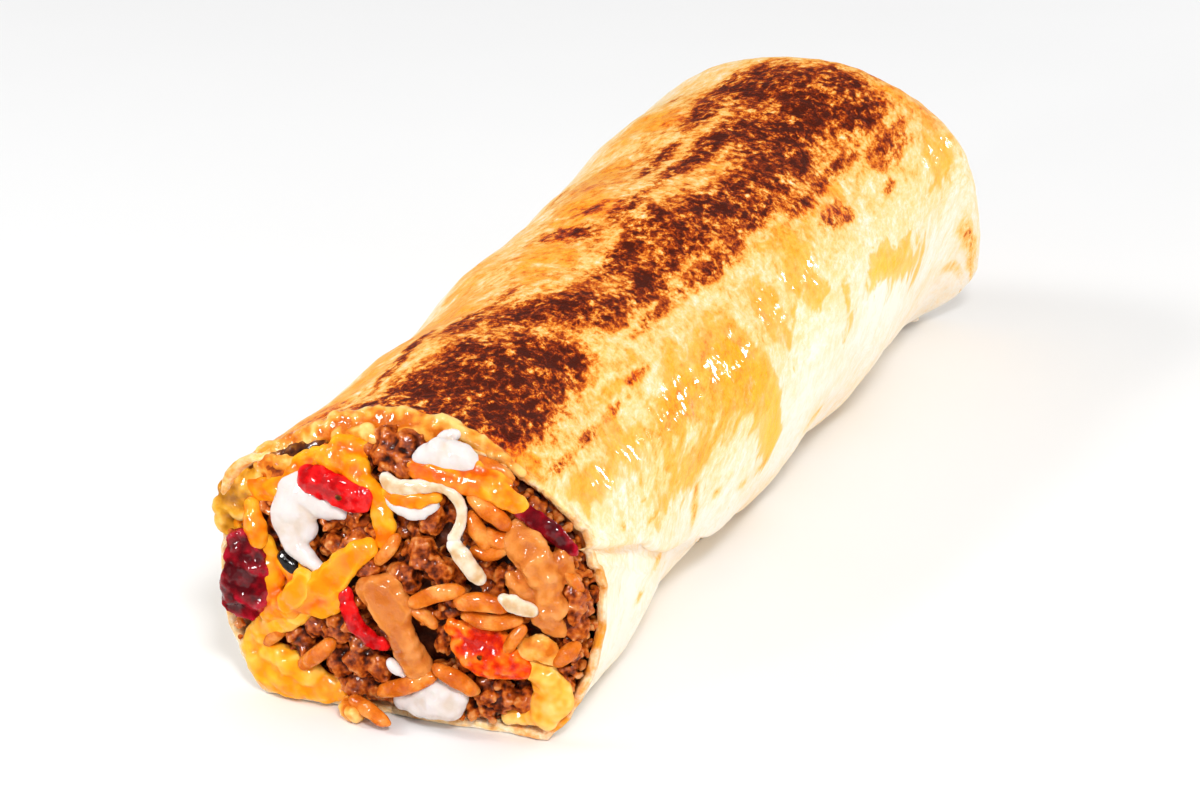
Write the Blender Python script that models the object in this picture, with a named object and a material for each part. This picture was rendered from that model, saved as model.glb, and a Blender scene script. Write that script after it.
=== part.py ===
"""A grilled burrito lying on its flat underside: a flour tortilla rolled round a filling of beef and rice.

The roll runs along Y. Its open end faces -Y and shows the filling, with melted cheese, sour cream, sauce and
crisp strips on it. Its other end is folded shut. Sizes below are in millimetres and angles in degrees, and
they become metres where a mesh is made. Round the roll, an angle of 0 is its +X side and 90 its top. A place
on the open face is (x, z, proud), where proud is how far it stands in front of the plane of the lip.
"""

import math

import bmesh
import bpy
import numpy as np
from mathutils import Vector, noise

MM = 0.001

# The roll
LENGTH = 180.0  # from the plane of the lip to the folded end
LIP_Y = -87.1  # where the plane of the lip is, which puts the origin under the middle of the whole
TAIL = 20.0  # the length over which the folded end comes down
TAIL_HEIGHT = 15.0  # of the folded end's last edge
TAIL_POWER = 2.35  # how square the folded end's shoulder is
TAIL_PINCH = 0.14  # the share of its width that the folded end loses
TAIL_LIFT = 1.6  # how far its last edge stands clear of the table
BASE_SINK = 0.11  # the share of the height that the flat underside takes off the round
# Along the roll: share of its length, centre in x, half width, height of the widest point, height of the top,
# and how square the section is below its widest point (2 is round, more is boxy)
STATIONS = (
    (0.00, 0.3, 27.5, 20.6, 41.7, 2.8),
    (0.25, -1.0, 26.8, 20.4, 42.0, 2.3),
    (0.50, -1.0, 27.8, 22.2, 44.1, 2.3),
    (0.75, -0.5, 28.8, 25.6, 46.4, 2.1),
    (0.90, 0.6, 28.8, 30.0, 48.6, 2.0),
    (1.00, 2.0, 29.4, 24.0, 48.4, 1.7),
)
SWELLINGS = ((8.5, 2, 0.0, 0.4), (5.2, -3, 1.0, 0.25))  # the filling's slight lumps: length, turns, phase, height

# The tortilla
LAYER = 1.8  # one layer of flatbread
WALL = 3.2  # the rolled wall further in
WALL_DEPTH = 12.0  # how far in from the lip the wall reaches that thickness
SEAM_START = 21.0  # where the free edge of the outermost layer meets the lip
SEAM_REST = -50.0  # where it runs along most of the roll, close to the table
SEAM_RUN = 90.0  # how far from the lip it gets there
SEAM_FADE = 60.0  # the angle over which the layer under it swells back out
SEAM_REACH = 150.0  # the angle over which the columns of the skin lean with the free edge
# The lip's waves: angle, spread, and how far the lip is drawn back there
LIP_WAVES = ((95, 30, 3.0), (146, 13, -3.4), (122, 10, 2.5), (38, 18, 2.0), (0, 22, 3.6), (205, 18, 1.0))
LIP_FLARES = ((146, 13, 2.4), (10, 20, 0.6), (-60, 20, 0.4))  # and how far it leans outwards
FLARE_DEPTH = 9.0
LIP_ROUND = 0.6  # how far the lip's two edges are rounded back

# The filling
GAP = 0.35  # between one solid and the next
FACE_BULGE = 4.6  # how far the middle of the filling's face stands in front of its rim
FACE_RIM = 1.0  # how far that rim lies behind the lip
CRUMB = 5.5  # size of the beef crumbles that its relief shows
CRUMB_DEPTH = 1.5
FILLING_BACK = 15.0  # from the filling's back to the folded end

COLUMNS = 46  # points round the tortilla
FILLING_COLUMNS = 36
SWEEP_SIDES = 7
TOPPING_STEPS = 2  # rings from one point of a topping's path to the next

# Colour and roughness
BEEF = ((0.20, 0.075, 0.03), 0.45)
BREAD = ((0.86, 0.66, 0.38), 0.6)
CHEESE = ((0.95, 0.45, 0.04), 0.25)
PALE_CHEESE = ((0.90, 0.80, 0.62), 0.3)
CREAM = ((0.93, 0.88, 0.80), 0.35)
SAUCE = ((0.66, 0.33, 0.12), 0.35)
RED = ((0.62, 0.02, 0.015), 0.25)
BURGUNDY = ((0.18, 0.01, 0.03), 0.25)
TOMATO = ((0.85, 0.16, 0.02), 0.25)
RICE = ((0.74, 0.30, 0.07), 0.35)

# What lies on the face: its finish, and a path of points (x, z, proud, half width, half thickness)
TOPPINGS = {
    "red_strip_top": (RED, (
        (-12.9, 33.6, 3.0, 1.9, 1.0), (-10.5, 34.1, 3.2, 2.3, 1.1), (-6.9, 33.3, 3.4, 2.3, 1.1),
        (-3.2, 32.7, 3.0, 1.9, 1.0),
    )),
    "red_strip_middle": (RED, (
        (-6.9, 19.3, 4.3, 0.9, 0.9), (-5.7, 16.6, 4.5, 1.2, 1.0), (-3.9, 14.0, 4.4, 1.2, 1.0),
        (-0.5, 12.0, 3.8, 0.8, 0.8),
    )),
    "dark_strip_left": (BURGUNDY, (
        (-21.0, 25.0, 3.0, 2.2, 1.0), (-21.6, 21.9, 3.6, 3.1, 1.2), (-21.8, 18.0, 3.6, 3.3, 1.2),
        (-22.5, 14.8, 3.1, 2.5, 1.0),
    )),
    "dark_strip_right": (BURGUNDY, (
        (13.2, 35.6, 2.4, 0.6, 0.6), (17.3, 33.9, 2.6, 1.0, 0.8), (21.6, 31.5, 2.8, 1.5, 0.9),
        (25.8, 28.8, 2.4, 0.8, 0.7),
    )),
    "sauce_left": (SAUCE, (
        (-3.2, 19.6, 3.4, 2.0, 1.4), (-1.0, 18.4, 4.0, 3.3, 1.8), (0.8, 16.2, 4.0, 2.7, 1.8),
        (2.6, 12.8, 3.6, 2.0, 1.7), (3.6, 9.8, 2.8, 1.8, 1.5),
    )),
    "sauce_right": (SAUCE, (
        (18.4, 31.0, 1.2, 1.2, 1.1), (20.2, 28.2, 1.8, 3.0, 1.6), (21.3, 25.4, 2.0, 3.4, 1.7),
        (21.5, 21.4, 2.0, 2.9, 1.6), (22.2, 17.6, 1.4, 2.1, 1.2),
    )),
    "tomato_chunk": (TOMATO, (
        (8.9, 16.2, 2.8, 1.4, 1.2), (11.2, 14.2, 3.0, 2.8, 1.8), (14.6, 12.7, 2.6, 3.2, 1.8),
        (19.0, 12.3, 1.6, 1.8, 1.3),
    )),
    "cheese_strand": (PALE_CHEESE, (
        (0.2, 36.0, 2.4, 1.9, 0.7), (3.2, 35.0, 3.0, 1.3, 0.7), (7.8, 35.2, 3.0, 0.9, 0.7),
        (10.6, 33.2, 3.0, 0.9, 0.7), (9.4, 29.6, 3.2, 0.9, 0.7), (11.2, 27.0, 3.4, 1.1, 0.8),
        (13.3, 23.8, 3.0, 0.9, 0.8),
    )),
    "cheese_shred": (CHEESE, (
        (-19.9, 13.7, 2.6, 1.2, 0.9), (-16.2, 16.7, 3.4, 1.5, 1.1), (-11.0, 20.9, 3.8, 1.2, 0.9),
    )),
    "cheese_left": (CHEESE, (
        (-20.0, 12.9, 1.0, 1.5, 1.0), (-15.6, 15.2, 1.8, 2.5, 1.3), (-10.8, 18.2, 2.4, 2.6, 1.4),
        (-7.2, 21.8, 3.0, 2.2, 1.4), (-2.8, 26.0, 3.2, 1.1, 1.0),
    )),
    "cheese_bottom_left": (CHEESE, (
        (-15.8, 12.6, 0.8, 1.2, 1.1), (-18.4, 9.4, 1.0, 2.2, 1.5), (-17.0, 6.2, 1.0, 2.8, 1.7),
        (-12.8, 4.9, 1.2, 2.6, 1.6), (-8.2, 4.2, 1.0, 1.7, 1.2),
    )),
    "cheese_bottom_right": (CHEESE, (
        (17.6, 10.6, 1.0, 1.2, 1.1), (20.8, 9.4, 1.2, 2.4, 1.5), (21.4, 6.6, 1.4, 2.9, 1.6),
        (19.4, 3.9, 1.2, 2.0, 1.2),
    )),
    "sour_cream_left": (CREAM, (
        (-12.2, 33.0, 1.2, 1.3, 1.1), (-13.8, 29.8, 1.8, 2.6, 1.6), (-14.8, 26.4, 2.0, 2.4, 1.6),
        (-14.2, 23.4, 2.2, 1.5, 1.2), (-11.6, 22.0, 2.6, 0.9, 0.8),
    )),
    "sour_cream_bottom": (CREAM, (
        (-0.2, 4.3, 1.2, 1.1, 1.0), (3.4, 4.6, 1.8, 2.2, 1.8), (7.4, 5.1, 1.8, 2.4, 1.8),
        (10.6, 5.6, 1.2, 1.3, 1.2),
    )),
    "sour_cream_top": (CREAM, (
        (3.6, 38.0, 1.2, 1.0, 0.9), (6.2, 38.6, 1.6, 2.0, 1.3), (9.0, 38.8, 1.4, 1.9, 1.2),
        (11.4, 38.4, 1.0, 1.0, 0.8),
    )),
    "cheese_top": (CHEESE, (
        (-10.8, 37.4, 0.8, 1.1, 0.9), (-6.0, 37.6, 1.6, 2.4, 1.3), (0.2, 37.6, 1.8, 2.2, 1.2),
        (6.4, 36.6, 2.0, 1.8, 1.2), (13.0, 36.0, 1.8, 2.0, 1.3), (18.6, 34.4, 1.4, 1.2, 0.9),
    )),
    "cheese_top_left": (CHEESE, (
        (-19.4, 26.6, 0.8, 1.2, 1.0), (-19.6, 29.8, 0.8, 1.7, 1.2), (-16.3, 33.2, 0.8, 1.6, 1.1),
        (-12.4, 36.0, 0.6, 1.1, 0.8),
    )),
    "rice_loose": (RICE, (
        (-5.6, 4.2, 2.2, 0.9, 0.8), (-3.2, 2.8, 3.8, 1.1, 0.9), (-0.4, 1.5, 4.8, 0.9, 0.8),
    )),
}


def smooth_path(keys, steps):
    """Rows of numbers along a Catmull-Rom curve through keys, with steps rows from one key to the next."""
    keys = np.array(keys, float)
    padded = np.vstack([2 * keys[0] - keys[1], keys, 2 * keys[-1] - keys[-2]])
    rows = []
    for a, b, c, d in zip(padded, padded[1:], padded[2:], padded[3:]):
        for k in range(steps):
            u = k / steps
            rows.append(b + 0.5 * u * (c - a + u * (2 * a - 5 * b + 4 * c - d + u * (3 * (b - c) + d - a))))
    return np.array(rows + [keys[-1]])


ROLL = smooth_path(STATIONS, 16)


def wave(angle, waves):
    """The sum of waves (angle, spread, height), each a bell round the roll, at an angle."""
    total = np.zeros_like(angle, float)
    for centre, spread, height in waves:
        away = (angle - centre + 180) % 360 - 180
        total += height * np.exp(-((away / spread) ** 2))
    return total


def seam_angle(depth):
    """Where the tortilla's free edge is, at a depth behind the lip."""
    share = min(max(depth / SEAM_RUN, 0.0), 1.0)
    return SEAM_START + (SEAM_REST - SEAM_START) * (1 - (1 - share) ** 1.2)


def swelling(depth, turn):
    """The slight lumps that the filling gives the roll."""
    return sum(height * np.sin(depth / length + turns * turn + phase) for length, turns, phase, height in SWELLINGS)


def section(depth, angle, inset):
    """x and z round the roll, inset from its outer skin, at a depth behind the lip, and whether each rests."""
    centre, half, widest, top, power = (np.interp(depth / LENGTH, ROLL[:, 0], ROLL[:, k]) for k in range(1, 6))
    share = min(max((depth - LENGTH + TAIL) / TAIL, 0.0), 1.0)
    top = TAIL_HEIGHT + (top - TAIL_HEIGHT) * (1 - share**TAIL_POWER) ** (1 / 2.2)
    widest *= 1 - (1 - 0.5 * TAIL_HEIGHT / widest) * share**2
    half *= 1 - TAIL_PINCH * share**3
    turn = np.radians(angle)
    cosine, sine = np.cos(turn), np.sin(turn)
    squareness = np.where(sine > 0, 2.0, power)
    outward = swelling(depth, turn) * (1 - share) - inset
    x = centre + np.sign(cosine) * np.abs(cosine) ** (2 / squareness) * (half + outward)
    reach = np.where(sine > 0, top - widest, widest + BASE_SINK * top) + outward
    z = widest + np.sign(sine) * np.abs(sine) ** (2 / squareness) * reach
    lowest = max(inset, 0.0) + TAIL_LIFT * share**3
    return x, np.maximum(z, lowest), z <= lowest


def skin_ring(depth, inset, columns=COLUMNS, wavy=True, inside=False):
    """One ring of the roll's skin, inset from its outer face, with two columns along the free edge.

    There the outer face steps in to the layer below. The inside has no step, and stays clear of both layers.
    """
    middle = 0.5 * (SEAM_START + SEAM_REST)
    away = np.arange(columns) * 360 / columns
    away[-1] = 359.0
    away = np.where(away > 180, away - 360, away)
    edge = seam_angle(depth)
    angle = middle + away + (edge - middle) * np.clip(1 - np.abs(away) / SEAM_REACH, 0, 1) ** 1.2
    apart = (angle - edge + 180) % 360 - 180
    covered = np.clip(1 - np.abs(apart) / SEAM_FADE, 0, 1) ** 1.5 * np.where(away < 0, 1, inside)
    ending = min(max((LENGTH - TAIL - depth) / TAIL, 0.0), 1.0)
    fade = math.exp(-max(depth, 0) / FLARE_DEPTH)
    step_in = 0.85 * LAYER * covered * ending
    x, z, resting = section(depth, angle, inset)
    move = np.where(resting, 0, wave(angle, LIP_FLARES) * fade - step_in)
    x = x + np.cos(np.radians(angle)) * move
    y = LIP_Y + depth + (wave(angle, LIP_WAVES) * fade if wavy else 0) * np.ones_like(x)
    z = np.maximum(z + np.sin(np.radians(angle)) * move, max(inset, 0.0))
    return np.stack([x, y, z], 1)


def tortilla_rings(grow=0.0):
    """Rings from the folded end along the outside to the lip, and back along the inside."""
    tail = [LENGTH - back for back in (0, 0.8, 2.5, 5.5, 9.5, 14, TAIL)]
    roll = list(np.linspace(LENGTH - TAIL, 54, 7))[1:]
    rings = [skin_ring(depth, -grow) for depth in tail + roll + [44, 35, 27, 20, 14, 9, 5.5, 2.5]]
    rings.append(skin_ring(LIP_ROUND - grow, 0.12 * LAYER - grow))
    rings.append(skin_ring(-grow, 0.5 * LAYER))
    rings.append(skin_ring(LIP_ROUND - grow, 0.88 * LAYER + grow))
    for depth in (2.5, 6, WALL_DEPTH, 24, 40, 80, 120, LENGTH - TAIL, LENGTH - 14, LENGTH - 9):
        rings.append(skin_ring(depth, wall_thickness(depth) + grow, inside=True))
    return rings


def wall_thickness(depth):
    return LAYER + (WALL - LAYER) * min(depth / WALL_DEPTH, 1.0)


def loft(name, rings, finish):
    """A closed object whose skin runs from ring to ring, with each end closed by a fan to its middle."""
    mesh = bmesh.new()
    loops = [[mesh.verts.new(Vector(point) * MM) for point in ring] for ring in rings]
    for first, second in zip(loops, loops[1:]):
        for k in range(len(first)):
            following = (k + 1) % len(first)
            mesh.faces.new((first[k], first[following], second[following]))
            mesh.faces.new((first[k], second[following], second[k]))
    for loop in (loops[0], loops[-1]):
        middle = mesh.verts.new(sum((v.co for v in loop), Vector()) / len(loop))
        for k in range(len(loop)):
            mesh.faces.new((loop[k], loop[(k + 1) % len(loop)], middle))
    return finished(name, mesh, finish)


def finished(name, mesh, finish):
    """An object made of mesh, shaded smooth, with its own material."""
    bmesh.ops.recalc_face_normals(mesh, faces=mesh.faces)
    data = bpy.data.meshes.new(name)
    mesh.to_mesh(data)
    mesh.free()
    data.shade_smooth()
    colour, roughness = finish
    material = bpy.data.materials.new(name)
    material.use_nodes = True
    shader = material.node_tree.nodes["Principled BSDF"]
    shader.inputs["Base Color"].default_value = (*colour, 1)
    shader.inputs["Roughness"].default_value = roughness
    data.materials.append(material)
    thing = bpy.data.objects.new(name, data)
    bpy.context.collection.objects.link(thing)
    return thing


def crumbs(x, z):
    """The relief of packed beef crumbles at a place on the filling's face."""
    distances = noise.voronoi(Vector((x / CRUMB, 0.37, z / CRUMB)), distance_metric="DISTANCE_SQUARED")[0]
    return CRUMB_DEPTH * (0.5 - distances[0]) + 0.7 * noise.noise(Vector((x / 9, 3.1, z / 9)))


def filling_rings():
    """Rings from the back of the filling to the lip, and then inwards over its bulging, crumbly face."""
    rings = []
    for depth in (LENGTH - FILLING_BACK, LENGTH - TAIL, 120, 80, 40, 24, WALL_DEPTH, 6, FACE_RIM + 3):
        rings.append(skin_ring(depth, wall_thickness(depth) + 1.5 * GAP, FILLING_COLUMNS, inside=True))
    rim = skin_ring(FACE_RIM + 2, LAYER + 1.0, FILLING_COLUMNS, wavy=False, inside=True)
    middle = rim.mean(0)
    for share in (0.985, 0.92, 0.83, 0.73, 0.62, 0.50, 0.38, 0.25, 0.12):
        ring = middle + (rim - middle) * share
        relief = np.array([crumbs(x, z) for x, _, z in ring]) * min(1.0, 4 * (1 - share) + 0.2)
        ring[:, 1] = LIP_Y - FACE_BULGE * (1 - share**2) + FACE_RIM - relief
        rings.append(ring)
    return rings


def sweep_rings(path, grow=0.0):
    """Rings of a flattened tube along a path on the face, with round ends."""
    rows = smooth_path(path, TOPPING_STEPS)
    line = np.stack([rows[:, 0], LIP_Y - rows[:, 2], rows[:, 1]], 1)
    ahead = np.gradient(line, axis=0)
    ahead /= np.linalg.norm(ahead, axis=1)[:, None]
    out = np.array([0.0, -1.0, 0.0]) + ahead * ahead[:, 1:2]
    out /= np.linalg.norm(out, axis=1)[:, None]
    side = np.cross(ahead, out)
    turn = np.arange(SWEEP_SIDES) * 2 * math.pi / SWEEP_SIDES
    round_end = [(math.sqrt(1 - share**2), share) for share in (0.45, 0.8)]
    stops = [(0, -onward, share) for onward, share in round_end]
    stops += [(k, 0.0, 1.0) for k in range(len(rows))]
    stops += [(-1, onward, share) for onward, share in reversed(round_end)]
    rings = []
    for k, onward, share in stops:
        wide, thick = rows[k, 3] * share + grow, rows[k, 4] * share + grow
        middle = line[k] + ahead[k] * (onward * (rows[k, 3] + grow) * 0.8)
        rings.append(middle + np.outer(np.cos(turn) * wide, side[k]) + np.outer(np.sin(turn) * thick, out[k]))
    return rings


def islands_of(mesh):
    """The sets of faces that hang together, the one with the largest area first."""
    islands, seen = [], set()
    for start in mesh.faces:
        if start in seen:
            continue
        island, edge_of = {start}, [start]
        while edge_of:
            for edge in edge_of.pop().edges:
                new = [face for face in edge.link_faces if face not in island]
                island.update(new)
                edge_of.extend(new)
        seen |= island
        islands.append(island)
    return sorted(islands, key=lambda island: -sum(face.calc_area() for face in island))


def cut(thing, cutters):
    """Takes the cutters away from thing, and keeps the largest piece that is left."""
    for cutter in cutters:
        modifier = thing.modifiers.new(cutter.name, "BOOLEAN")
        modifier.operation = "DIFFERENCE"
        modifier.object = cutter
    graph = bpy.context.evaluated_depsgraph_get()
    mesh = bmesh.new()
    mesh.from_mesh(bpy.data.meshes.new_from_object(thing.evaluated_get(graph)))
    thing.modifiers.clear()
    bmesh.ops.remove_doubles(mesh, verts=mesh.verts, dist=1e-6)
    for island in islands_of(mesh)[1:]:
        bmesh.ops.delete(mesh, geom=list(island), context="FACES")
    mesh.to_mesh(thing.data)
    mesh.free()
    thing.data.shade_smooth()


def room_for(name, rings):
    """A cutter a little larger than the solid that it makes room for."""
    cutter = loft(name + "_room", rings, BEEF)
    cutter.hide_render = True
    cutter.display_type = "WIRE"
    return cutter


def build():
    for old in list(bpy.data.objects):
        bpy.data.objects.remove(old)
    loft("tortilla", tortilla_rings(), BREAD)
    rooms = [room_for("tortilla", tortilla_rings(GAP))]
    for name, (finish, path) in TOPPINGS.items():
        topping = loft(name, sweep_rings(path), finish)
        cut(topping, rooms)
        rooms.append(room_for(name, sweep_rings(path, GAP)))
    cut(loft("filling", filling_rings(), BEEF), rooms)


build()
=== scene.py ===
"""How a grilled burrito looks: a charred tortilla round beef and rice, with melted cheese, sauce and cream.

Sizes are in millimetres and angles in degrees, and become metres where a mesh is made. Depth is counted from
the plane of the lip along the roll. Round the roll, an angle of 0 is its +X side and 90 its top. A place on
the open face is (x, z, proud), where proud is how far it stands in front of the filling's own surface there.
"""

import math
import random

import bmesh
import bpy
import numpy as np
from mathutils import Euler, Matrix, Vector, noise


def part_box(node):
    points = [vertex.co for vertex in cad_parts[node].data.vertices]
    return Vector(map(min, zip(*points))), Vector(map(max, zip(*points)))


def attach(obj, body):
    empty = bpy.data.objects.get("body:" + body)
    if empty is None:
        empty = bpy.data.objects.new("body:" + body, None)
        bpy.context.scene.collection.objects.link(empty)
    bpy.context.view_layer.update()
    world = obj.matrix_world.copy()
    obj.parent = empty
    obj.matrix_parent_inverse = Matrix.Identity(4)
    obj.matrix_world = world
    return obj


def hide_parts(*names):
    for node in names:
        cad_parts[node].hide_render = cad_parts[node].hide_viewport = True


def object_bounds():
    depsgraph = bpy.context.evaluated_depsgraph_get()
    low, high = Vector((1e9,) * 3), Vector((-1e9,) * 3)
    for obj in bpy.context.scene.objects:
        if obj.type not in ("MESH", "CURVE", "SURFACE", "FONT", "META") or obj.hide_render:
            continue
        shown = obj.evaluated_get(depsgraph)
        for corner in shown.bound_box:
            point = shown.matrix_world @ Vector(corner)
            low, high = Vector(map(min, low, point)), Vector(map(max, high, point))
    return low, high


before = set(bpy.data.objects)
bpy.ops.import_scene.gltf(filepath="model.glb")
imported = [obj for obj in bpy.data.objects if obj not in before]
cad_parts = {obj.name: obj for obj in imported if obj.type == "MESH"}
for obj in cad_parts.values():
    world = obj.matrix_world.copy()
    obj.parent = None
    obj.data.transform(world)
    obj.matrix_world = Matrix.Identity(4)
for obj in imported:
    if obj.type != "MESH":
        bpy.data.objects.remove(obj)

CAD_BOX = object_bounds()
MM = 0.001

# The roll, as in the solid that it dresses
LENGTH = 180.0
LIP_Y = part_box("tortilla")[1].y / MM - LENGTH
TAIL = 20.0
TAIL_HEIGHT = 15.0
TAIL_POWER = 2.35
TAIL_ROUND = 2.2
TAIL_PINCH = 0.14
TAIL_LIFT = 1.6
BASE_SINK = 0.11
# Share of the length, centre in x, half width, height of the widest point and of the top, squareness below
STATIONS = (
    (0, 0.3, 27.5, 20.6, 41.7, 2.8), (0.25, -1, 26.8, 20.4, 42, 2.3), (0.5, -1, 27.8, 22.2, 44.1, 2.3),
    (0.75, -0.5, 28.8, 25.6, 46.4, 2.1), (0.9, 0.6, 28.8, 30, 48.6, 2), (1, 2, 29.4, 24, 48.4, 1.7),
)
STATION_STEPS = 16
SWELLINGS = ((8.5, 2, 0.0, 0.4), (5.2, -3, 1.0, 0.25))
LAYER = 1.8
LIP = 1.2  # the tortilla's thickness at its lip
SEAM_START = 21.0
SEAM_REST = -50.0
SEAM_RUN = 90.0
SEAM_FADE = 60.0
SEAM_FADE_POWER = 1.5
SEAM_REACH = 150.0
SEAM_POWER = 1.2
SEAM_STEP = 0.85 * LAYER  # down from the free edge to the layer below
# Bells round the roll: angle, spread and height
LIP_WAVES = ((95, 30, 3), (146, 13, -3.4), (122, 10, 2.5), (38, 18, 2), (0, 22, 3.6), (205, 18, 1))
LIP_FLARES = ((146, 13, 2.4), (10, 20, 0.6), (-60, 20, 0.4))
FLARE_DEPTH = 9.0
FACE_BULGE = 4.6
FACE_RIM = 1.0
FACE_MIDDLE = (0.3, 20.85)
FACE_HALF = (27.5, 20.85)

# The tortilla's mesh
RING_STEP = 0.72
FIRST_RINGS = (0.0, 0.06, 0.2)  # how far the first few are from the folded end
RING_SPAN = (1.0, LENGTH - 0.4)  # depths between which the others lie
LIP_RINGS = 9
INNER_RINGS = 14
INNER_SPAN = (1.2, 16.0)  # depths between which the inside of the tortilla is made
LIP_TAPER = 5.0  # over which the lip thickens to a whole layer
LIP_DEPTH = 1.5  # up to which the inside of the lip still follows the free edge
COLUMN_STEP = 1.35
UNDER_STEP = 3.2  # of columns on the underside, which rests on the table
UNDER = (-175, -25)  # degrees from the free edge between which it is the underside
END_ROUND = 4.0  # over which the folded end's edge is rounded
END_DRAW = 0.12
RESTING = 0.4  # height below which a point of the folded end stays where it is
# The free edge's section: degrees from the edge, and the share of the step down to the layer below
FLAP_EDGE = (
    (2.6, 0), (1.7, 0.04), (1, 0.13), (0.5, 0.3), (0.15, 0.55), (0.1, 0.8), (0.6, 0.98), (0.3, 1.06),
    (-0.4, 1.08), (-1.2, 1.06), (-2.4, 1.03),
)
# The folded end's flat back: its rings, as shares of the way from its middle to its rim, and how far in
# it lies
TAIL_SHARES = (1.0, 0.97, 0.92, 0.85, 0.75, 0.64, 0.52, 0.4, 0.28, 0.16, 0.06)
TAIL_IN = 0.05
TAIL_SEAM = (1.5, 0.5, 1.2, 2.6, 0.4)  # depth, half width, and the height, turns and start of its wave
TAIL_TUCKS = (1.1, 0.035, 0.42, 0.04)  # depth, half width, how far out they are, and how much more higher up

# The tortilla's relief
OUTSIDE = 0.3  # how far in from the outer skin it still counts as outside
INSIDE_SHARE = 0.4  # of the relief, on the inside
EDGE_DEPTH = 3.0  # over which what the lip adds fades out
LIP_BUMPS = ((0.7, 2.6, 8.0),)  # height, size and seed
RAGGED = ((1.6, 3.2, 5.0), (0.8, 1.3, 6.0))
LUMPS = ((0.32, 13, 1.0), (0.16, 5.5, 4.0))
WRINKLES = ((0.14, 4.2, 7.0),)
WRINKLE_SHAPE = (2.0, 0.55, 2.0)  # how many times as fine they are in each direction
BLISTERS = ((0.30, 2.4, 9.0), (0.16, 1.2, 3.0))

# What its finish is told
ARC = 0.42  # millimetres in a degree
STREAK_SLANT = 0.45
STREAK_LEFT = 40  # how far the streaks are moved on the left side, so that the two sides differ
CHAR = 0.48  # how strongly the darkest mark counts
CHAR_GAIN = 2
INSIDE_TOAST = (0.25, 0.12)  # share of the outside's toast, and how much is added
MARK_STEEPNESS = 1.4
SMEAR_STEEPNESS = 1.3
# Bells round the roll, as above
OILY_SIDE = ((32, 34, 1.0),)
SOAKED_SIDES = ((-12, 26, 0.3), (160, 12, 0.3), (100, 30, 0.3), (-40, 14, 0.35))
SOAKED = 0.25  # how much so all round the lip
SOAKED_DEPTH = 2  # up to which the outside is soaked too

# Where the griddle has marked the skin: depth, angle, half length, half angle and how strongly
MARKS = (
    (9, 84, 11, 15, 1), (22, 80, 11, 15, 1), (33, 76, 8, 12, 0.85), (14, 66, 12, 8, 0.9), (30, 66, 9, 6, 0.8),
    (9, 107, 5, 8, 0.85), (18, 103, 6, 7, 0.85), (30, 96, 7, 7, 0.7), (12, 124, 6, 6, 0.35),
    (27, 116, 9, 2.2, 0.75), (37, 117, 5, 2, 0.6), (47, 92, 6, 8, 0.75), (43, 106, 5, 5, 0.85),
    (53, 75, 6, 10, 1), (54, 104, 4, 3, 0.5), (64, 66, 6, 4, 0.7), (71, 69, 8, 6, 0.85), (74, 81, 9, 4, 0.85),
    (86, 82, 6, 6, 0.8), (85, 69, 8, 7, 0.8), (97, 70, 6, 9, 1), (80, 104, 3, 9, 0.65), (91, 93, 6, 4, 0.65),
    (90, 104, 3, 4, 0.4), (84, 55, 9, 3, 0.6), (99, 59, 8, 3, 0.6), (107, 68, 9, 7, 0.8),
    (105, 57, 8, 3, 0.7), (113, 101, 9, 2.6, 0.7), (118, 90, 9, 4, 0.65), (107, 92, 7, 3, 0.5),
    (130, 73, 11, 10, 1.1), (121, 60, 9, 5, 0.75), (128, 88, 8, 5, 0.9), (134, 101, 6, 4, 0.8),
    (148, 72, 11, 13, 1.1), (150, 94, 10, 9, 1), (146, 105, 9, 4, 0.7), (149, 56, 9, 5, 0.65),
    (126, 50, 12, 3, 0.5), (147, 44, 7, 4, 0.4), (117, 39, 5, 3.5, 0.62), (122, 35, 3, 2.5, 0.5),
    (138, 31, 2.2, 2.2, 0.75), (146, 38, 6, 3, 0.4), (112, 50, 4, 4, 0.6), (146, 123, 3, 3, 0.4),
    (105, 134, 8, 3, 0.25), (75, 58, 12, 3, 0.4), (8, 46, 5, 1.8, 0.6), (21, 46, 4, 1.6, 0.6),
    (33, 46, 4, 1.4, 0.5), (43, 48, 4, 1.8, 0.45), (58, 58, 6, 2, 0.45), (13, 17, 1.2, 1.2, 0.55),
    (26, 8, 2.4, 1, 0.4), (45, -5, 1.2, 6, 0.45), (23, -14, 1.6, 1.2, 0.6), (72, -14, 3, 1.4, 0.3),
    (54, -8, 1.4, 1.4, 0.35), (64, -13, 1.6, 1.4, 0.3), (168, -12, 6, 4, 0.5), (174, -17, 4, 2.5, 0.45),
    (166, -24, 6, 1.4, 0.3), (100, -22, 5, 1.2, 0.25), (33, -11, 4, 1.6, 0.3), (20, 180, 9, 7, 0.18),
    (48, 197, 12, 8, 0.22), (84, 186, 16, 9, 0.16), (118, 199, 14, 8, 0.2), (150, 182, 9, 8, 0.16),
    (40, 270, 18, 16, 0.4), (92, 282, 20, 14, 0.45), (140, 262, 16, 14, 0.35),
)
# How golden the skin is round them
GOLDEN = (
    (90, 84, 400, 66, 0.15), (80, 84, 90, 34, 0.07), (20, 82, 34, 34, 0.12), (75, 78, 40, 26, 0.1),
    (138, 76, 38, 36, 0.12), (60, 122, 60, 20, 0.1), (125, 122, 40, 22, 0.1), (12, 50, 20, 14, 0.1),
    (160, 30, 30, 44, 0.1), (177, 96, 7, 50, 0.1), (6, 140, 8, 20, 0.2), (48, 18, 36, 22, 0.15),
    (100, 38, 50, 22, 0.08), (60, 192, 90, 34, 0.06), (90, 272, 100, 60, 0.1),
)
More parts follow.
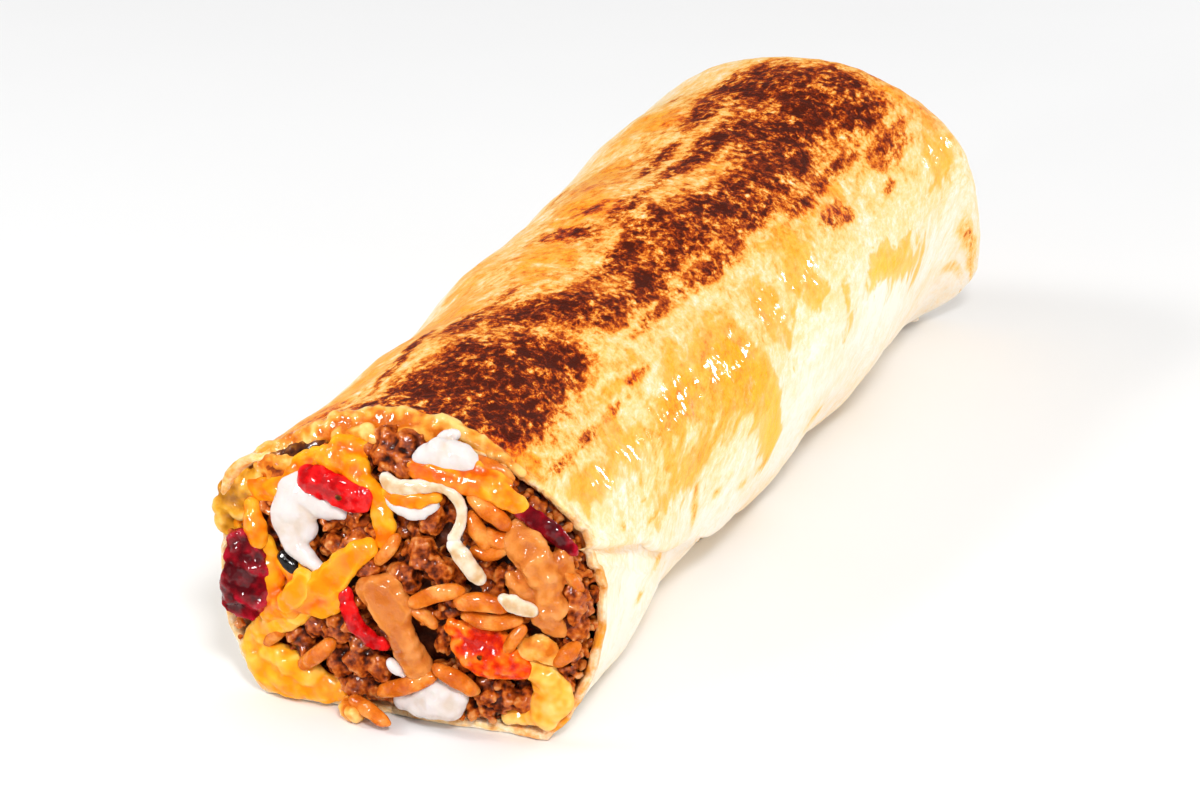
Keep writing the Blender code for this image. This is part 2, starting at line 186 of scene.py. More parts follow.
# Where melted cheese and oil have stained it yellow, and, below 0, where it stays clean
SMEARS = (
    (12, 35, 9, 7, 0.9), (32, 13, 14, 9, 0.5), (46, 8, 8, 9, 0.6), (28, 38, 6, 14, 0.7),
    (55, 36, 14, 12, 0.65), (67, 30, 7, 16, 0.7), (72, 6, 6, 18, 0.9), (76, -8, 4, 10, 0.9),
    (62, 18, 9, 10, 0.7), (85, 30, 5, 18, 0.8), (99, 34, 7, 16, 0.8), (108, 8, 4, 12, 0.5),
    (124, 10, 7, 9, 0.7), (134, 2, 8, 8, 0.7), (142, -8, 5, 8, 0.5), (44, 30, 10, 9, 0.6),
    (40, 52, 10, 6, 0.5), (50, 122, 10, 14, 0.8), (72, 108, 10, 9, 0.75), (92, 108, 9, 13, 0.85),
    (109, 118, 10, 13, 0.8), (133, 120, 9, 11, 0.8), (156, 22, 9, 16, 0.6), (30, 128, 13, 10, 0.6),
    (12, 134, 9, 12, 0.6), (5, 60, 6, 12, 0.6), (70, 132, 11, 9, 0.6), (88, 140, 9, 9, 0.5),
    (118, 44, 14, 8, 0.5), (165, 50, 10, 20, 0.6), (4, 98, 5, 26, 0.9), (64, 96, 10, 8, 0.5),
    (112, 82, 10, 6, 0.4), (8, 13, 16, 9, -0.8),
)

# The filling
CORE_BACK = 3.4  # how far the core lies behind the crumbles; its dark colour is partly painted shade for the depth between them
CORE_MARGIN = 2.2
CORE_RINGS = 16
CORE_COLUMNS = 48
CORE_BUMPS = (0.7, 3.0)  # height and size
CLUMP_STEP = 3.4  # from one clump of beef to the next
CLUMP_SHIFT = 0.25  # of a step, either way
CLUMP_PROUD = (-1.9, 0.7)  # between which a clump stands in front of the face
CLUMP_GRAINS = 40
CLUMP_CHUNKS = 5  # of the grains, which are larger
CLUMP_REACH = 2.3
CLUMP_BACK = 0.9  # of a clump's middle behind the face
CLUMP_MARGIN = LAYER + 0.7
CLUMP_FIRST = 1.0  # height of the first row
GRAIN = (0.36, 0.78)  # radius of a grain of beef
GRAIN_STEP = (0.55, 1.0)
GRAIN_LONG = (0.8, 1.6)
GRAIN_HIGH = (0.7, 1.0)
GRAIN_SPREAD = (1, 0.55, 1)  # of the ways from one grain to the next: across, along the roll and up
CHUNK_SCALE = 1.6
EXTRA_SCALE = 1.25
CHUNK = (2.2, 1.5, 1.7)  # half the length, depth and height of the piece in each larger clump
CHUNK_BACK = 0.8
CHUNK_TILT = 0.4
RIM_TURN = 6  # degrees from one clump at the lip to the next
RIM_STEP = 1.6
RIM_DEPTH = 2.5
RIM_GRAINS = 12
RIM_GRAIN_LONG = 1.2
RIM_INSET = LIP + 1.0
RIM_LOWEST = LIP + 0.9
RIM_WIDTH = 2.6
RIM_SHIFT = (0.8, 0.9)  # of a grain, across and along the roll
RIM_HELD_BACK = (18, 60, 2.4)  # angles between which the beef is held back, and how far
BEEF_SEED = 11
BEEF_VOXEL = 0.21
BEEF_RELIEF = ((0.3, 1.1), (0.14, 0.5))
BEEF_BANDS = (0.0, 15.0, 27.0, 60.0)  # heights between which the beef is one piece
TUCK = 0.2  # how far behind a topping's middle the beef is kept
FACE_CORNER = 2.8  # how square the face is below its middle
FACE_BELOW = 25.2  # how far its round would reach below its middle, if the table didn't flatten it
# Dark gaps between the clumps: x, z and radius
HOLLOWS = (
    (7.6, 28.6, 2.2), (15.5, 27, 2.4), (4.5, 11.6, 2.6), (12.8, 34.2, 2.4), (-7, 21, 2), (-2, 8.6, 1.6),
    (-5.6, 34.8, 1.6), (19.4, 17, 2), (3.4, 14.6, 1.8), (-10.8, 10.4, 1.8), (12, 8.4, 1.8), (23.6, 19, 1.6),
    (-21, 10.8, 1.6), (-8, 29.6, 1.4),
)
# Larger clumps: x, z and how proud
EXTRA_CLUMPS = (
    (-8.6, 7.8, 0.8), (-5.3, 8.6, 1.1), (-2.5, 8.2, 0.8), (-6.5, 4.2, 0.6), (-17, 33.8, 1.2), (-5, 26, 0.6),
    (-9.4, 29, 0.8), (-6.6, 30.2, 0.7), (4.6, 26.4, 0.7), (2, 23, 0.6), (7, 24.4, 0.6), (-3.4, 23.6, 0.8),
    (-3.6, 38.6, 1), (-1.2, 38.2, 1.3), (1, 37.8, 1.5), (-1.4, 40, 0.9), (1.4, 39.8, 0.9), (5.6, 31, 0.3),
    (14.6, 5.4, 0.6), (12.4, 6.6, 0.4), (17.6, 5.2, 0.5), (-4.6, 37.6, 0.4), (-0.4, 38.2, 0.4),
    (-14.2, 10.4, 0.3), (-12, 13.2, 0.3), (24.4, 22.2, 0.6), (24.6, 18, 0.8), (2.2, 39.6, 0),
    (-7.6, 13.4, 0.5),
)
TOPPING_VOXEL = 0.26
GLINT = 1.8  # across a facet of the wet coat
GLINT_DEPTH = 0.5
BEEF_PAINTED_SHADE = 0.34  # painted shade: how much darker the beef's hollows are painted than its crests
# Painted shade and light on the toppings: how much darker their hollows and lighter their crests are painted
TOPPING_PAINTED_SHADE = 0.28
HOLLOW_ROUNDS = 12  # of smoothing between a surface and the one that its hollows are measured from
BLOCK_POWER = 4.5  # how square a blunted ball is

# Rice: each grain's ends and middle on the face, and its radius
RICE_SIDES = 10
RICE_STEPS = 5
RICE_PLUMP = 1.18
RICE_BEND = 0.88  # share of its bend that a grain keeps
RICE_FRONT = (0.0, -1.0, 0.15)  # the way that its flatter side faces
RICE_FLAT = (0.82, 0.95)  # its thickness, as a share of its width
RICE_ENDS = ((0.85, 0.24), (0.62, 0.56), (0.28, 0.84))  # how far past its end, and the share of its radius
RICE_BELLY = (0.86, 0.16)  # share of its radius at its ends, and how much more there is in its middle
RICE_RIDGES = (3, 0.08, 9)  # how many run along it, how high they are, and how far its radius turns them
RICE_BUMPS = (0.17, 1.5, 2.0)  # height, size and seed
LOOSE_GRAIN = 5  # which of them hangs over the lip
RICE = (
    ((3.9, 19.8, 1.8), (7.3, 21.6, 2.1), (10.8, 22.6, 1.8), 1.05),
    ((10.4, 20.9, 2), (13.7, 21.4, 2.3), (16.6, 20.8, 2), 1.15),
    ((11.2, 18.8, 1.6), (14.6, 18.2, 1.8), (18.4, 18.7, 1.5), 1),
    ((6.7, 10.3, 1.7), (9.1, 9, 1.8), (11.5, 7.1, 1.5), 1.1),
    ((-2.2, 4.7, 1.6), (1.9, 6.6, 2), (6.1, 8.9, 1.7), 1.1),
    ((-6.3, 3, 2.6), (-3.2, 2.4, 4), (-0.4, 1.4, 5.2), 1),
    ((-14, 6.4, 1.7), (-11.1, 8.9, 2), (-8.6, 11.4, 1.7), 1.05),
    ((23, 12.9, 1.7), (24.4, 14.2, 1.9), (25.4, 15.3, 1.7), 1.05),
    ((11.5, 32.4, 1.1), (12.4, 30.6, 1.3), (13.6, 28.6, 1.1), 1.05),
    ((24, 25.6, 1.1), (25.2, 24.6, 1.2), (26, 23.5, 1), 0.7),
    ((11.4, 35, 1.7), (14.1, 33.4, 2), (16.5, 31.6, 1.7), 1.1),
    ((13.2, 30, 0.7), (15.2, 29.4, 0.9), (17.2, 29.4, 0.6), 1.1),
    ((10.8, 39.2, 1.3), (13.4, 38.7, 1.5), (16, 37.6, 1.4), 1.05),
    ((12, 27.6, 0.6), (14.2, 27.4, 0.8), (16.2, 28.4, 0.6), 0.95),
    ((16.6, 14.4, 1.9), (17.6, 16.1, 2.1), (18.8, 17.8, 1.8), 0.85),
    ((3.4, 18.6, 0.9), (5.2, 17.9, 1.1), (6.4, 16.6, 0.9), 0.9),
    ((-19.8, 8.4, 1.2), (-18.4, 9.8, 1.3), (-16.8, 11.2, 1.1), 0.85),
    ((-1.4, 24.6, 1), (0.2, 26.4, 1.2), (1.4, 28.4, 1), 0.85),
)

# Relief of toppings: height and size
LEATHERY = ((0.22, 1.5), (0.12, 0.7))
CRUMBLY = ((0.4, 1.6), (0.2, 0.8))
PLAIN = ((0.12, 2.2),)
# What lies on the face. Each piece has its finish, its slot, the node that it replaces, rounds of smoothing,
# its relief, the kind of ball that makes it (a block, or how fine a round one is), and its strokes, which are
# paths of points (x, z, proud, half width, half thickness)
TOPPINGS = {
    "red_pepper_top": ("red_strip", "red_strip", "red_strip_top", 1, LEATHERY, "block", (
        ((-12, 34.3, 1.7, 1.8, 0.9), (-10.4, 34.1, 1.9, 2, 1), (-8.2, 33.7, 2, 2, 1), (-6, 33.2, 2, 1.95, 1),
         (-4.1, 32.8, 1.8, 1.9, 0.9)),
    )),
    "red_pepper_middle": ("red_strip", "red_strip", "red_strip_middle", 1, LEATHERY, 2, (
        ((-6.2, 19.6, 1.2, 1.1, 0.9), (-5.6, 17.6, 1.6, 1.2, 1), (-4.5, 15.2, 1.7, 1.2, 1),
         (-2.9, 13.4, 1.5, 1.2, 1), (-1, 12.4, 1.1, 0.9, 0.9)),
    )),
    "burgundy_left": ("burgundy_strip", "dark_strip", "dark_strip_left", 1, ((0.6, 2), (0.2, 0.9)), "block", (
        ((-21.6, 24.2, 2, 1.6, 0.9), (-21.4, 21.4, 2.4, 2.7, 1), (-21.6, 18.4, 2.4, 3.2, 1.1),
         (-22.2, 15.8, 2.2, 2.9, 1)),
    )),
    "burgundy_right": ("burgundy_strip", "dark_strip", "dark_strip_right", 1, ((0.14, 1.2),), 2, (
        ((13.2, 36, 1.8, 0.3, 0.4), (15.2, 35.2, 1.9, 0.6, 0.5), (17.3, 34.3, 2, 1, 0.7),
         (19.5, 33.1, 2, 1.4, 0.8), (21.9, 31.6, 2, 1.5, 0.8), (23.9, 29.9, 1.7, 1.2, 0.7),
         (25.2, 28.4, 1.3, 0.6, 0.5)),
    )),
    "sauce_drip_left": ("sauce", "sauce", "sauce_left", 5, ((0.5, 3), (0.14, 1.2)), 2, (
        ((-2, 20.2, 0.9, 2.2, 1.5), (0.2, 19.4, 1.2, 2.9, 1.8), (1.4, 16.2, 1.2, 2.3, 1.8),
         (2.3, 12.9, 1.1, 1.9, 1.7), (3.2, 10.4, 0.9, 2.4, 1.6)),
        ((-1.6, 21.2, 0.6, 1.5, 1.2), (0.8, 21.6, 0.7, 1.8, 1.4)),
    )),
    "sauce_drip_right": ("sauce", "sauce", "sauce_right", 3, ((0.9, 2.6), (0.25, 1.1)), 2, (
        ((17.2, 31.2, 0.9, 1.4, 1.1), (18.8, 29, 1.4, 2.7, 1.5), (20.6, 26.6, 1.6, 3, 1.7),
         (21.6, 23.6, 1.4, 2.3, 1.6), (22, 20.8, 1.4, 2.5, 1.6), (22.4, 18.2, 1, 1.9, 1.2)),
        ((17, 24.6, 0.8, 1.2, 1.1), (18.6, 22.8, 1.1, 1.8, 1.3), (20.4, 21.6, 1.2, 1.8, 1.3)),
        ((23.2, 28.2, 0.8, 1.2, 1), (24.4, 25.8, 0.8, 1.1, 1), (25.4, 23.6, 0.7, 0.7, 0.8)),
    )),
    "onion": ("pale_cheese", "pale_cheese", None, 2, PLAIN, 2, (
        ((16.6, 22, 2.4, 1, 0.6), (18.4, 21.4, 2.8, 1.3, 0.6), (20.4, 20.6, 2.4, 1, 0.6)),
    )),
    "onion_flake": ("cheese_glaze", "sauce", None, 2, PLAIN, 2, (
        ((18.8, 14.2, 1, 1.5, 0.8), (20.7, 14.8, 1.2, 1.9, 0.9), (22.2, 13.2, 1, 1.4, 0.8)),
    )),
    "tomato": ("tomato", "tomato", "tomato_chunk", 2, ((0.5, 2), (0.2, 0.9)), 2, (
        ((10.2, 14.4, 1, 1.6, 1.2), (11.8, 12.9, 1.3, 2.1, 1.6), (14, 12.2, 1.4, 2.4, 1.7),
         (16.3, 12.2, 1.3, 2.2, 1.6), (18.4, 11.6, 1, 1.5, 1.2)),
        ((9, 16.6, 0.7, 1.3, 0.9), (11.3, 16, 0.8, 1.5, 1), (13.4, 15.3, 0.8, 1.5, 1),
         (15.5, 15.3, 0.7, 1.3, 0.9)),
    )),
    "string_cheese": ("pale_cheese", "pale_cheese", "cheese_strand", 4, PLAIN, 2, (
        ((-0.7, 36, 1.6, 1.1, 0.7), (0.6, 35.2, 1.8, 1.3, 0.7), (2.7, 35.3, 2, 1.2, 0.7),
         (4.9, 35.8, 2.1, 1, 0.7), (7.2, 36, 2.2, 0.9, 0.7), (9.2, 35.2, 2.2, 0.9, 0.7),
         (10.4, 33.6, 2.2, 0.8, 0.65), (10.4, 31.6, 2.2, 0.8, 0.65), (9.6, 29.6, 2.1, 1, 0.7)),
    )),
    "cheese_grain": ("pale_cheese", "pale_cheese", None, 3, PLAIN, 2, (
        ((9.7, 28.8, 2.1, 1.1, 0.9), (11.3, 27, 2.4, 1.4, 1.1), (13.1, 24.6, 2, 1.2, 0.9)),
    )),
    "cream_top": ("sour_cream", "cream", "sour_cream_top", 5, ((0.25, 2.2),), 2, (
        ((3.6, 38.8, 1.2, 1.2, 1.1), (6.3, 39.5, 1.7, 2.2, 1.5), (8.7, 39.8, 1.8, 2.4, 1.6),
         (10.8, 38.8, 1.4, 1.6, 1.3)),
        ((6.2, 41.2, 0.4, 1, 0.9), (7.8, 42, 0, 0.8, 0.8)),
    )),
    "cream_arc": ("sour_cream", "cream", None, 4, PLAIN, 2, (
        ((-0.6, 33.2, 0.9, 0.8, 0.6), (1.6, 32.2, 1.1, 1, 0.7), (4.2, 31.9, 1.1, 1, 0.7),
         (6.4, 33, 0.9, 0.7, 0.6)),
    )),
    "cream_left": ("sour_cream", "cream", "sour_cream_left", 6, ((0.3, 3),), 2, (
        ((-13.4, 33.6, 0.7, 1.4, 1.2), (-14.4, 31.4, 0.9, 2.2, 1.6), (-15, 28.9, 1, 2.5, 1.7),
         (-14.6, 26.4, 1, 2.1, 1.5), (-13.6, 24.3, 1, 1.6, 1.3), (-11.6, 23, 1.1, 1.3, 1.1),
         (-9.6, 21.8, 1, 0.8, 0.8)),
        ((-12.4, 31.4, 0.8, 2.4, 1.4), (-9.4, 30.6, 0.6, 2, 1.3), (-7.4, 30.2, 0.4, 1.2, 1)),
        ((-12.8, 28.6, 0.6, 2.2, 1.4), (-12.6, 26.6, 0.5, 1.6, 1.2)),
    )),
    "cream_bottom": ("sour_cream", "cream", "sour_cream_bottom", 5, ((0.3, 2.4),), 2, (
        ((0.6, 3.6, 0.9, 1.6, 1.3), (3.8, 3.9, 1.3, 2.3, 1.7), (6.2, 4.7, 1.4, 2.8, 1.9),
         (8.6, 5.4, 1.2, 2, 1.6)),
        ((5.6, 7.1, 1.1, 1.4, 1.4), (7.2, 6.3, 1.3, 1.8, 1.6)),
        ((0.2, 10.2, 1.8, 0.8, 0.8), (0.9, 9.2, 1.9, 1, 0.9), (1.7, 8.3, 1.6, 0.7, 0.7)),
    )),
    "cheese_glaze": ("cheese_glaze", "cheddar", None, 3, ((0.5, 2.8), (0.2, 1.1)), 2, (
        ((-15.4, 38, -0.4, 0.9, 0.9), (-12.4, 39.4, -0.8, 1.4, 1.1), (-8.6, 40.6, -1.4, 1.8, 1.3),
         (-4, 41.2, -1.9, 2.1, 1.5), (1, 41.4, -2.2, 2.2, 1.6), (5.6, 41.2, -2.2, 2, 1.4),
         (9.6, 40.6, -2, 1.6, 1.3), (13.4, 39.2, -1.4, 1.2, 1), (16.6, 37.6, -0.8, 0.8, 0.8)),
        ((-9, 39.2, -0.2, 1.3, 1), (-5, 39.8, -0.2, 1.7, 1.2), (-1, 40.2, -0.4, 1.6, 1.2),
         (3, 40.8, -0.8, 1.5, 1.2)),
        ((-23.2, 31.2, -0.4, 1.5, 1.4), (-20.6, 33.8, -0.6, 1.7, 1.5), (-17.4, 36, -0.9, 1.8, 1.6),
         (-13.8, 37.8, -1.2, 1.8, 1.6), (-9.8, 39.2, -1.5, 1.8, 1.6)),
    )),
    "melted_top": ("cheddar_deep", "cheddar", "cheese_top", 4, ((0.35, 2.6), (0.1, 1.1)), 2, (
        ((2.6, 37.6, 1.5, 1.2, 0.9), (5.8, 37.2, 1.9, 1.5, 1), (8.4, 36.9, 2.1, 1.6, 1),
         (11.1, 36.7, 2.2, 1.8, 1.1), (13.9, 36.2, 2.3, 1.9, 1.2), (16.1, 35.5, 2.4, 1.8, 1.1),
         (18, 34.6, 2.4, 1.5, 1)),
        ((-0.6, 34.2, 1.2, 0.8, 0.7), (1.4, 33.5, 1.5, 1.1, 0.8), (4.2, 33.6, 1.6, 1.2, 0.8),
         (6.8, 34.4, 1.4, 0.8, 0.7)),
        ((11.2, 38.4, 1.6, 1.3, 0.9), (13.6, 37.8, 1.8, 1.3, 0.9), (15.8, 37, 1.8, 0.9, 0.8)),
    )),
    "melted_top_left": ("cheddar", "cheddar", "cheese_top_left", 4, ((0.4, 2.4), (0.15, 1)), 2, (
        ((-23.4, 26.6, 0.2, 1.4, 1), (-22.6, 28.8, 0.5, 1.7, 1), (-20.6, 30.8, 0.9, 1.8, 1),
         (-17.6, 31.6, 1, 1.5, 1), (-15.6, 33, 1, 1.3, 1), (-13.6, 35.2, 0.9, 1.4, 1),
         (-11.2, 36.8, 0.9, 1.4, 1)),
        ((-23.6, 24.8, 0, 1.2, 1), (-24, 27.2, 0, 1.2, 1)),
    )),
    "cheese_ridge": ("cheddar", "cheddar", None, 5, ((0.4, 2.6), (0.1, 1.1)), 2, (
        ((-10.3, 37, 1, 1.6, 1), (-7.1, 36.9, 1.3, 2.2, 1.1), (-4.6, 36.3, 1.3, 1.7, 1)),
        ((-8.2, 38.5, 0.7, 1.5, 1), (-6.2, 38.6, 0.8, 1.6, 1), (-4.6, 38.8, 0.7, 1.2, 1)),
        ((-5.6, 35.8, 1.4, 1.4, 0.9), (-3.4, 35, 1.5, 1.5, 1), (-1.9, 33.4, 1.2, 1.4, 0.9),
         (-1.2, 31.4, 0.9, 1.5, 0.9), (-0.8, 29.4, 0.8, 1.5, 0.9), (-0.4, 27.4, 0.7, 1.3, 0.8)),
    )),
    "cheese_drop": ("cheddar_deep", "cheddar", None, 5, ((0.2, 2),), 2, (
        ((-21, 28.6, 1.2, 1.2, 1), (-20.4, 27, 1.7, 1.5, 1.1), (-19.8, 25.6, 2, 1.7, 1.2),
         (-19.7, 24.6, 2, 1.3, 1.1)),
    )),
    "ear": ("soaked_tortilla", "tortilla", None, 3, ((0.45, 2.6), (0.12, 1.1)), 2, (
        ((-24.8, 23.6, 0.6, 1.1, 0.7), (-25.4, 25.4, 1.3, 1.5, 0.7), (-25.3, 27.6, 1.8, 1.6, 0.7),
         (-24.6, 29.8, 2, 1.6, 0.7), (-23.6, 31.8, 1.9, 1.3, 0.7), (-22.7, 33.3, 1.6, 0.8, 0.6)),
        ((-23.4, 27.2, 1.4, 1.3, 0.7), (-22.6, 29.6, 1.6, 1.4, 0.7), (-21.4, 31.8, 1.4, 1.2, 0.7),
         (-20.2, 33.2, 1, 0.8, 0.7)),
    )),
    "ear_edge": ("singed_edge", "beef", None, 1, ((0.3, 1.4), (0.15, 0.6)), 2, (
        ((-21.6, 33.4, 0.9, 0.5, 0.5), (-19.8, 34.6, 0.8, 0.55, 0.6), (-17.4, 35.9, 0.5, 0.6, 0.7),
         (-15, 36.9, 0.2, 0.7, 0.8), (-12.6, 37.8, -0.1, 0.7, 0.8), (-10.8, 38.3, -0.2, 0.4, 0.6)),
        ((-16.6, 35.4, 0.6, 0.5, 0.6), (-14.4, 36.2, 0.4, 0.8, 0.8), (-12.4, 37.2, 0.2, 0.5, 0.6)),
    )),
    "melted_left": ("cheddar", "cheddar", "cheese_left", 5, ((0.35, 2.6),), 2, (
        ((-19.2, 23.4, 0.6, 1.5, 1), (-18.4, 20.7, 0.9, 2.2, 1.1), (-18.2, 17.8, 1, 2.4, 1.2),
         (-18.8, 14.9, 1, 2.3, 1.2), (-18.2, 13, 0.8, 1.8, 1.1)),
        ((-18.1, 13.8, 1.3, 1.3, 1), (-14.8, 16.3, 1.6, 2, 1.2), (-11, 19, 1.8, 2.3, 1.3),
         (-7.5, 22, 1.9, 2.2, 1.2), (-4.6, 25, 1.8, 1.9, 1.1), (-2.3, 26.8, 1.4, 1.2, 0.9)),
        ((-12.9, 17.1, 1.5, 1.7, 1), (-10, 17, 1.6, 2, 1), (-7.7, 17.9, 1.5, 1.6, 0.9)),
        ((-15.4, 21.6, 0.6, 1.8, 1), (-13.4, 20.4, 0.9, 1.8, 1)),
        ((-22.6, 12.2, 0.2, 1.4, 1), (-20.8, 13.2, 0.6, 1.5, 1), (-19.2, 13.4, 0.8, 1.4, 1)),
    )),
    "melted_shred": ("cheddar_pale", "cheddar", "cheese_shred", 3, PLAIN, 2, (
        ((-14.8, 16.3, 2.3, 1.5, 0.9), (-12.9, 18.9, 2.8, 1.8, 1), (-11.6, 21.2, 2.4, 1.3, 0.9)),
    )),
    "melted_bottom_left": ("cheddar_pale", "cheddar", "cheese_bottom_left", 5, ((0.4, 2.6), (0.1, 1)), 2, (
        ((-23, 6.2, 0.4, 1.4, 0.9), (-21.4, 9.4, 0.8, 1.8, 1), (-18.2, 12, 1, 1.9, 1),
         (-14.9, 13.8, 1.1, 1.7, 1), (-12.3, 15.4, 1, 1.2, 0.9)),
        ((-23.2, 6.4, 0.2, 1.4, 1.1), (-21.6, 4.4, 0.6, 2.1, 1.4), (-18.6, 3.2, 0.9, 2.6, 1.6),
         (-15, 2.9, 1, 2.5, 1.6), (-11.4, 2.9, 0.9, 2.2, 1.4), (-8.8, 3, 0.6, 1.4, 1.2)),
        ((-19.4, 6.6, 0.8, 2, 1.2), (-16.6, 6, 1.1, 2.1, 1.4), (-13.4, 5, 1.1, 2, 1.4)),
    )),
    # Three small dark dots: the one on the red pepper is painted shade for a small hole in it; two sit on the
    # tomato.
    "pits": ("singed_edge", "beef", None, 0, (), 2, (
        ((-6.8, 33.1, 3, 0.45, 0.3), (-6.4, 33, 3, 0.45, 0.3)),
        ((16, 11.4, 2.9, 0.4, 0.3), (16.3, 11.3, 2.9, 0.4, 0.3)),
        ((13.2, 13.4, 2.9, 0.35, 0.3), (13.4, 13.3, 2.9, 0.35, 0.3)),
    )),
    "melted_bottom_right": ("cheddar_runny", "cheddar", "cheese_bottom_right", 5, ((0.4, 2.4), (0.1, 1)), 2, (
        ((17.6, 12, 0.7, 1.2, 1), (19.6, 11, 0.9, 1.8, 1.2), (21.4, 9.2, 1.1, 2.4, 1.4),
         (21.6, 6.6, 1.1, 2.7, 1.5), (20.8, 4.2, 0.9, 2.3, 1.4)),
        ((14.8, 2.6, 0.2, 1, 0.9), (17.2, 3.2, 0.5, 1.4, 1.1), (19.4, 3.8, 0.7, 1.6, 1.2)),
    )),
    "ear_crumb": ("cheese_glaze", "beef", None, 1, CRUMBLY, 2, (
        ((-20.4, 33, 0.4, 1.1, 0.9), (-18.6, 34, 1, 1.6, 1.1), (-16.6, 34.8, 1.1, 1.5, 1.1),
         (-14.8, 35.2, 0.8, 1, 0.9)),
        ((-18.2, 32.4, 0.8, 1.2, 1), (-16.4, 32.8, 0.9, 1.2, 1)),
    )),
    "loose_crumb": ("cheese_glaze", "beef", None, 1, CRUMBLY, 2, (
        ((-7.6, 1.8, 2, 1, 1), (-6.6, 1.4, 3.2, 1.4, 1.2), (-5.4, 1.4, 4.4, 1.3, 1.2)),
    )),
    "bean": ("bean", "beef", None, 2, (), "block", (((-15.5, 22.6, 1, 1, 1), (-14, 21.4, 1, 1.1, 1)),)),
}
# The toppings that the beef is tucked behind
COVERING = (
    "red_pepper_top", "burgundy_left", "sauce_drip_left", "sauce_drip_right", "tomato", "cream_top",
    "cream_left", "cream_bottom", "melted_top", "cheese_ridge", "melted_top_left", "melted_left",
    "melted_bottom_left", "melted_bottom_right",
)
COVER_STEPS = 4
STROKE_STEPS = 6
STROKE_UNEVEN = 0.12

# Their finishes: the size over which shades drift, roughness, share that is wet, glow and its reach, the size
# and depth of the fine relief, and the shades, each a place on the ramp with its red, green and blue
FINISHES = {
    "cheddar": (
        5, 0.4, 0.5, 0.2, 1.4, 1.3, 0.14, (0.3, 226, 104, 2), (0.5, 244, 142, 8), (0.72, 250, 170, 32),
    ),
    "cheddar_pale": (
        5, 0.4, 0.6, 0.2, 1.4, 1.3, 0.14, (0.3, 240, 142, 12), (0.5, 250, 168, 30), (0.72, 252, 188, 76),
    ),
    "cheese_glaze": (
        3, 0.45, 0.5, 0.12, 1, 0.8, 0.25, (0.3, 204, 104, 20), (0.5, 234, 152, 52), (0.72, 248, 196, 112),
    ),
    "sour_cream": (
        5, 0.4, 0.4, 0.2, 1.2, 1.5, 0.2, (0.2, 208, 192, 178), (0.4, 214, 205, 200), (0.8, 222, 217, 215),
    ),
    "sauce": (
        6, 0.6, 0.6, 0.08, 1, 0.8, 0.25, (0.28, 190, 100, 34), (0.5, 208, 122, 48), (0.74, 226, 146, 74),
    ),
    "red_strip": (
        2.6, 0.65, 0.5, 0.05, 0.6, 0.8, 0.2, (0.3, 166, 0, 4), (0.52, 206, 2, 8), (0.7, 228, 28, 26),
    ),
    "burgundy_strip": (
        2.8, 0.65, 0.45, 0.04, 0.6, 1, 0.3, (0.3, 74, 0, 8), (0.52, 124, 0, 14), (0.7, 168, 12, 36),
    ),
    "tomato": (
        3, 0.65, 0.45, 0.12, 1, 0.9, 0.4,
        (0.3, 190, 22, 0), (0.44, 220, 52, 0), (0.56, 238, 88, 4), (0.74, 248, 128, 28),
    ),
    "cheddar_deep": (
        4, 0.4, 0.6, 0.2, 1.4, 1.3, 0.14, (0.3, 208, 84, 2), (0.5, 238, 126, 8), (0.72, 250, 166, 36),
    ),
    "cheddar_runny": (
        4, 0.35, 0.6, 0.25, 1.4, 1.3, 0.14, (0.3, 236, 138, 20), (0.46, 246, 172, 56), (0.7, 250, 198, 106),
    ),
    "soaked_tortilla": (
        3.4, 0.45, 0.3, 0.15, 1, 1.2, 0.2,
        (0.28, 150, 92, 16), (0.42, 194, 128, 24), (0.56, 222, 158, 44), (0.78, 244, 206, 120),
    ),
    # The singed edge of the ear, and the dark dots, one of which is painted shade inside a hole in the red
    # pepper.
    "singed_edge": (1.6, 0.6, 0.1, 0, 1, 0.8, 0.2, (0.3, 38, 12, 2), (0.52, 92, 42, 8), (0.72, 156, 94, 28)),
    "pale_cheese": (
        3, 0.4, 0.5, 0.2, 1.2, 1, 0.2, (0.28, 204, 164, 116), (0.46, 220, 200, 170), (0.7, 230, 220, 208),
    ),
    "bean": (2, 0.2, 0.5, 0, 1, 1, 0.04, (0.3, 8, 2, 2), (0.7, 26, 8, 6)),
    "rice": (2.6, 0.4, 0.5, 0.1, 1, 0.8, 0.25, (0.3, 186, 80, 8), (0.5, 212, 112, 26), (0.7, 236, 160, 78)),
}

# The camera and the studio
AIM = Vector((-4.8, -1.9, 14.9))
AZIMUTH = 21.3
ELEVATION = 21.0
DISTANCE = 610.0
LENS = 120.0
SKY = (0.37, 0.78)  # the dome's strength at the horizon and overhead
FLOOR = (2000, -0.1)  # half its width, and its height
FLOOR_GREYS = (238.61396, 241.04561)  # between which it drifts
# Name, place, size and power of each lamp, and whether surfaces show it in more than their reflections
LAMPS = (
    ("key", (330, -620, 560), 130, 4.1, True),
    ("front", (-260, -820, 230), 100, 0.9, True),
    ("left", (-560, -260, 520), 200, 1.8, True),
    ("right", (640, -60, 110), 260, 0.85, True),
    ("back", (390, 700, 215), 90, 1.4, True),
    ("sparkle", (-240, -820, 330), 230, 12.0, False),
)

# --- helpers


def smooth_path(keys, steps):
    """Rows of numbers along a Catmull-Rom curve through keys, with steps rows from one key to the next."""
    keys = np.array(keys, float)
    padded = np.vstack([2 * keys[0] - keys[1], keys, 2 * keys[-1] - keys[-2]])
    rows = []
    for a, b, c, d in zip(padded, padded[1:], padded[2:], padded[3:]):
        for k in range(steps):
            u = k / steps
            rows.append(b + 0.5 * u * (c - a + u * (2 * a - 5 * b + 4 * c - d + u * (3 * (b - c) + d - a))))
    return np.array(rows + [keys[-1]])


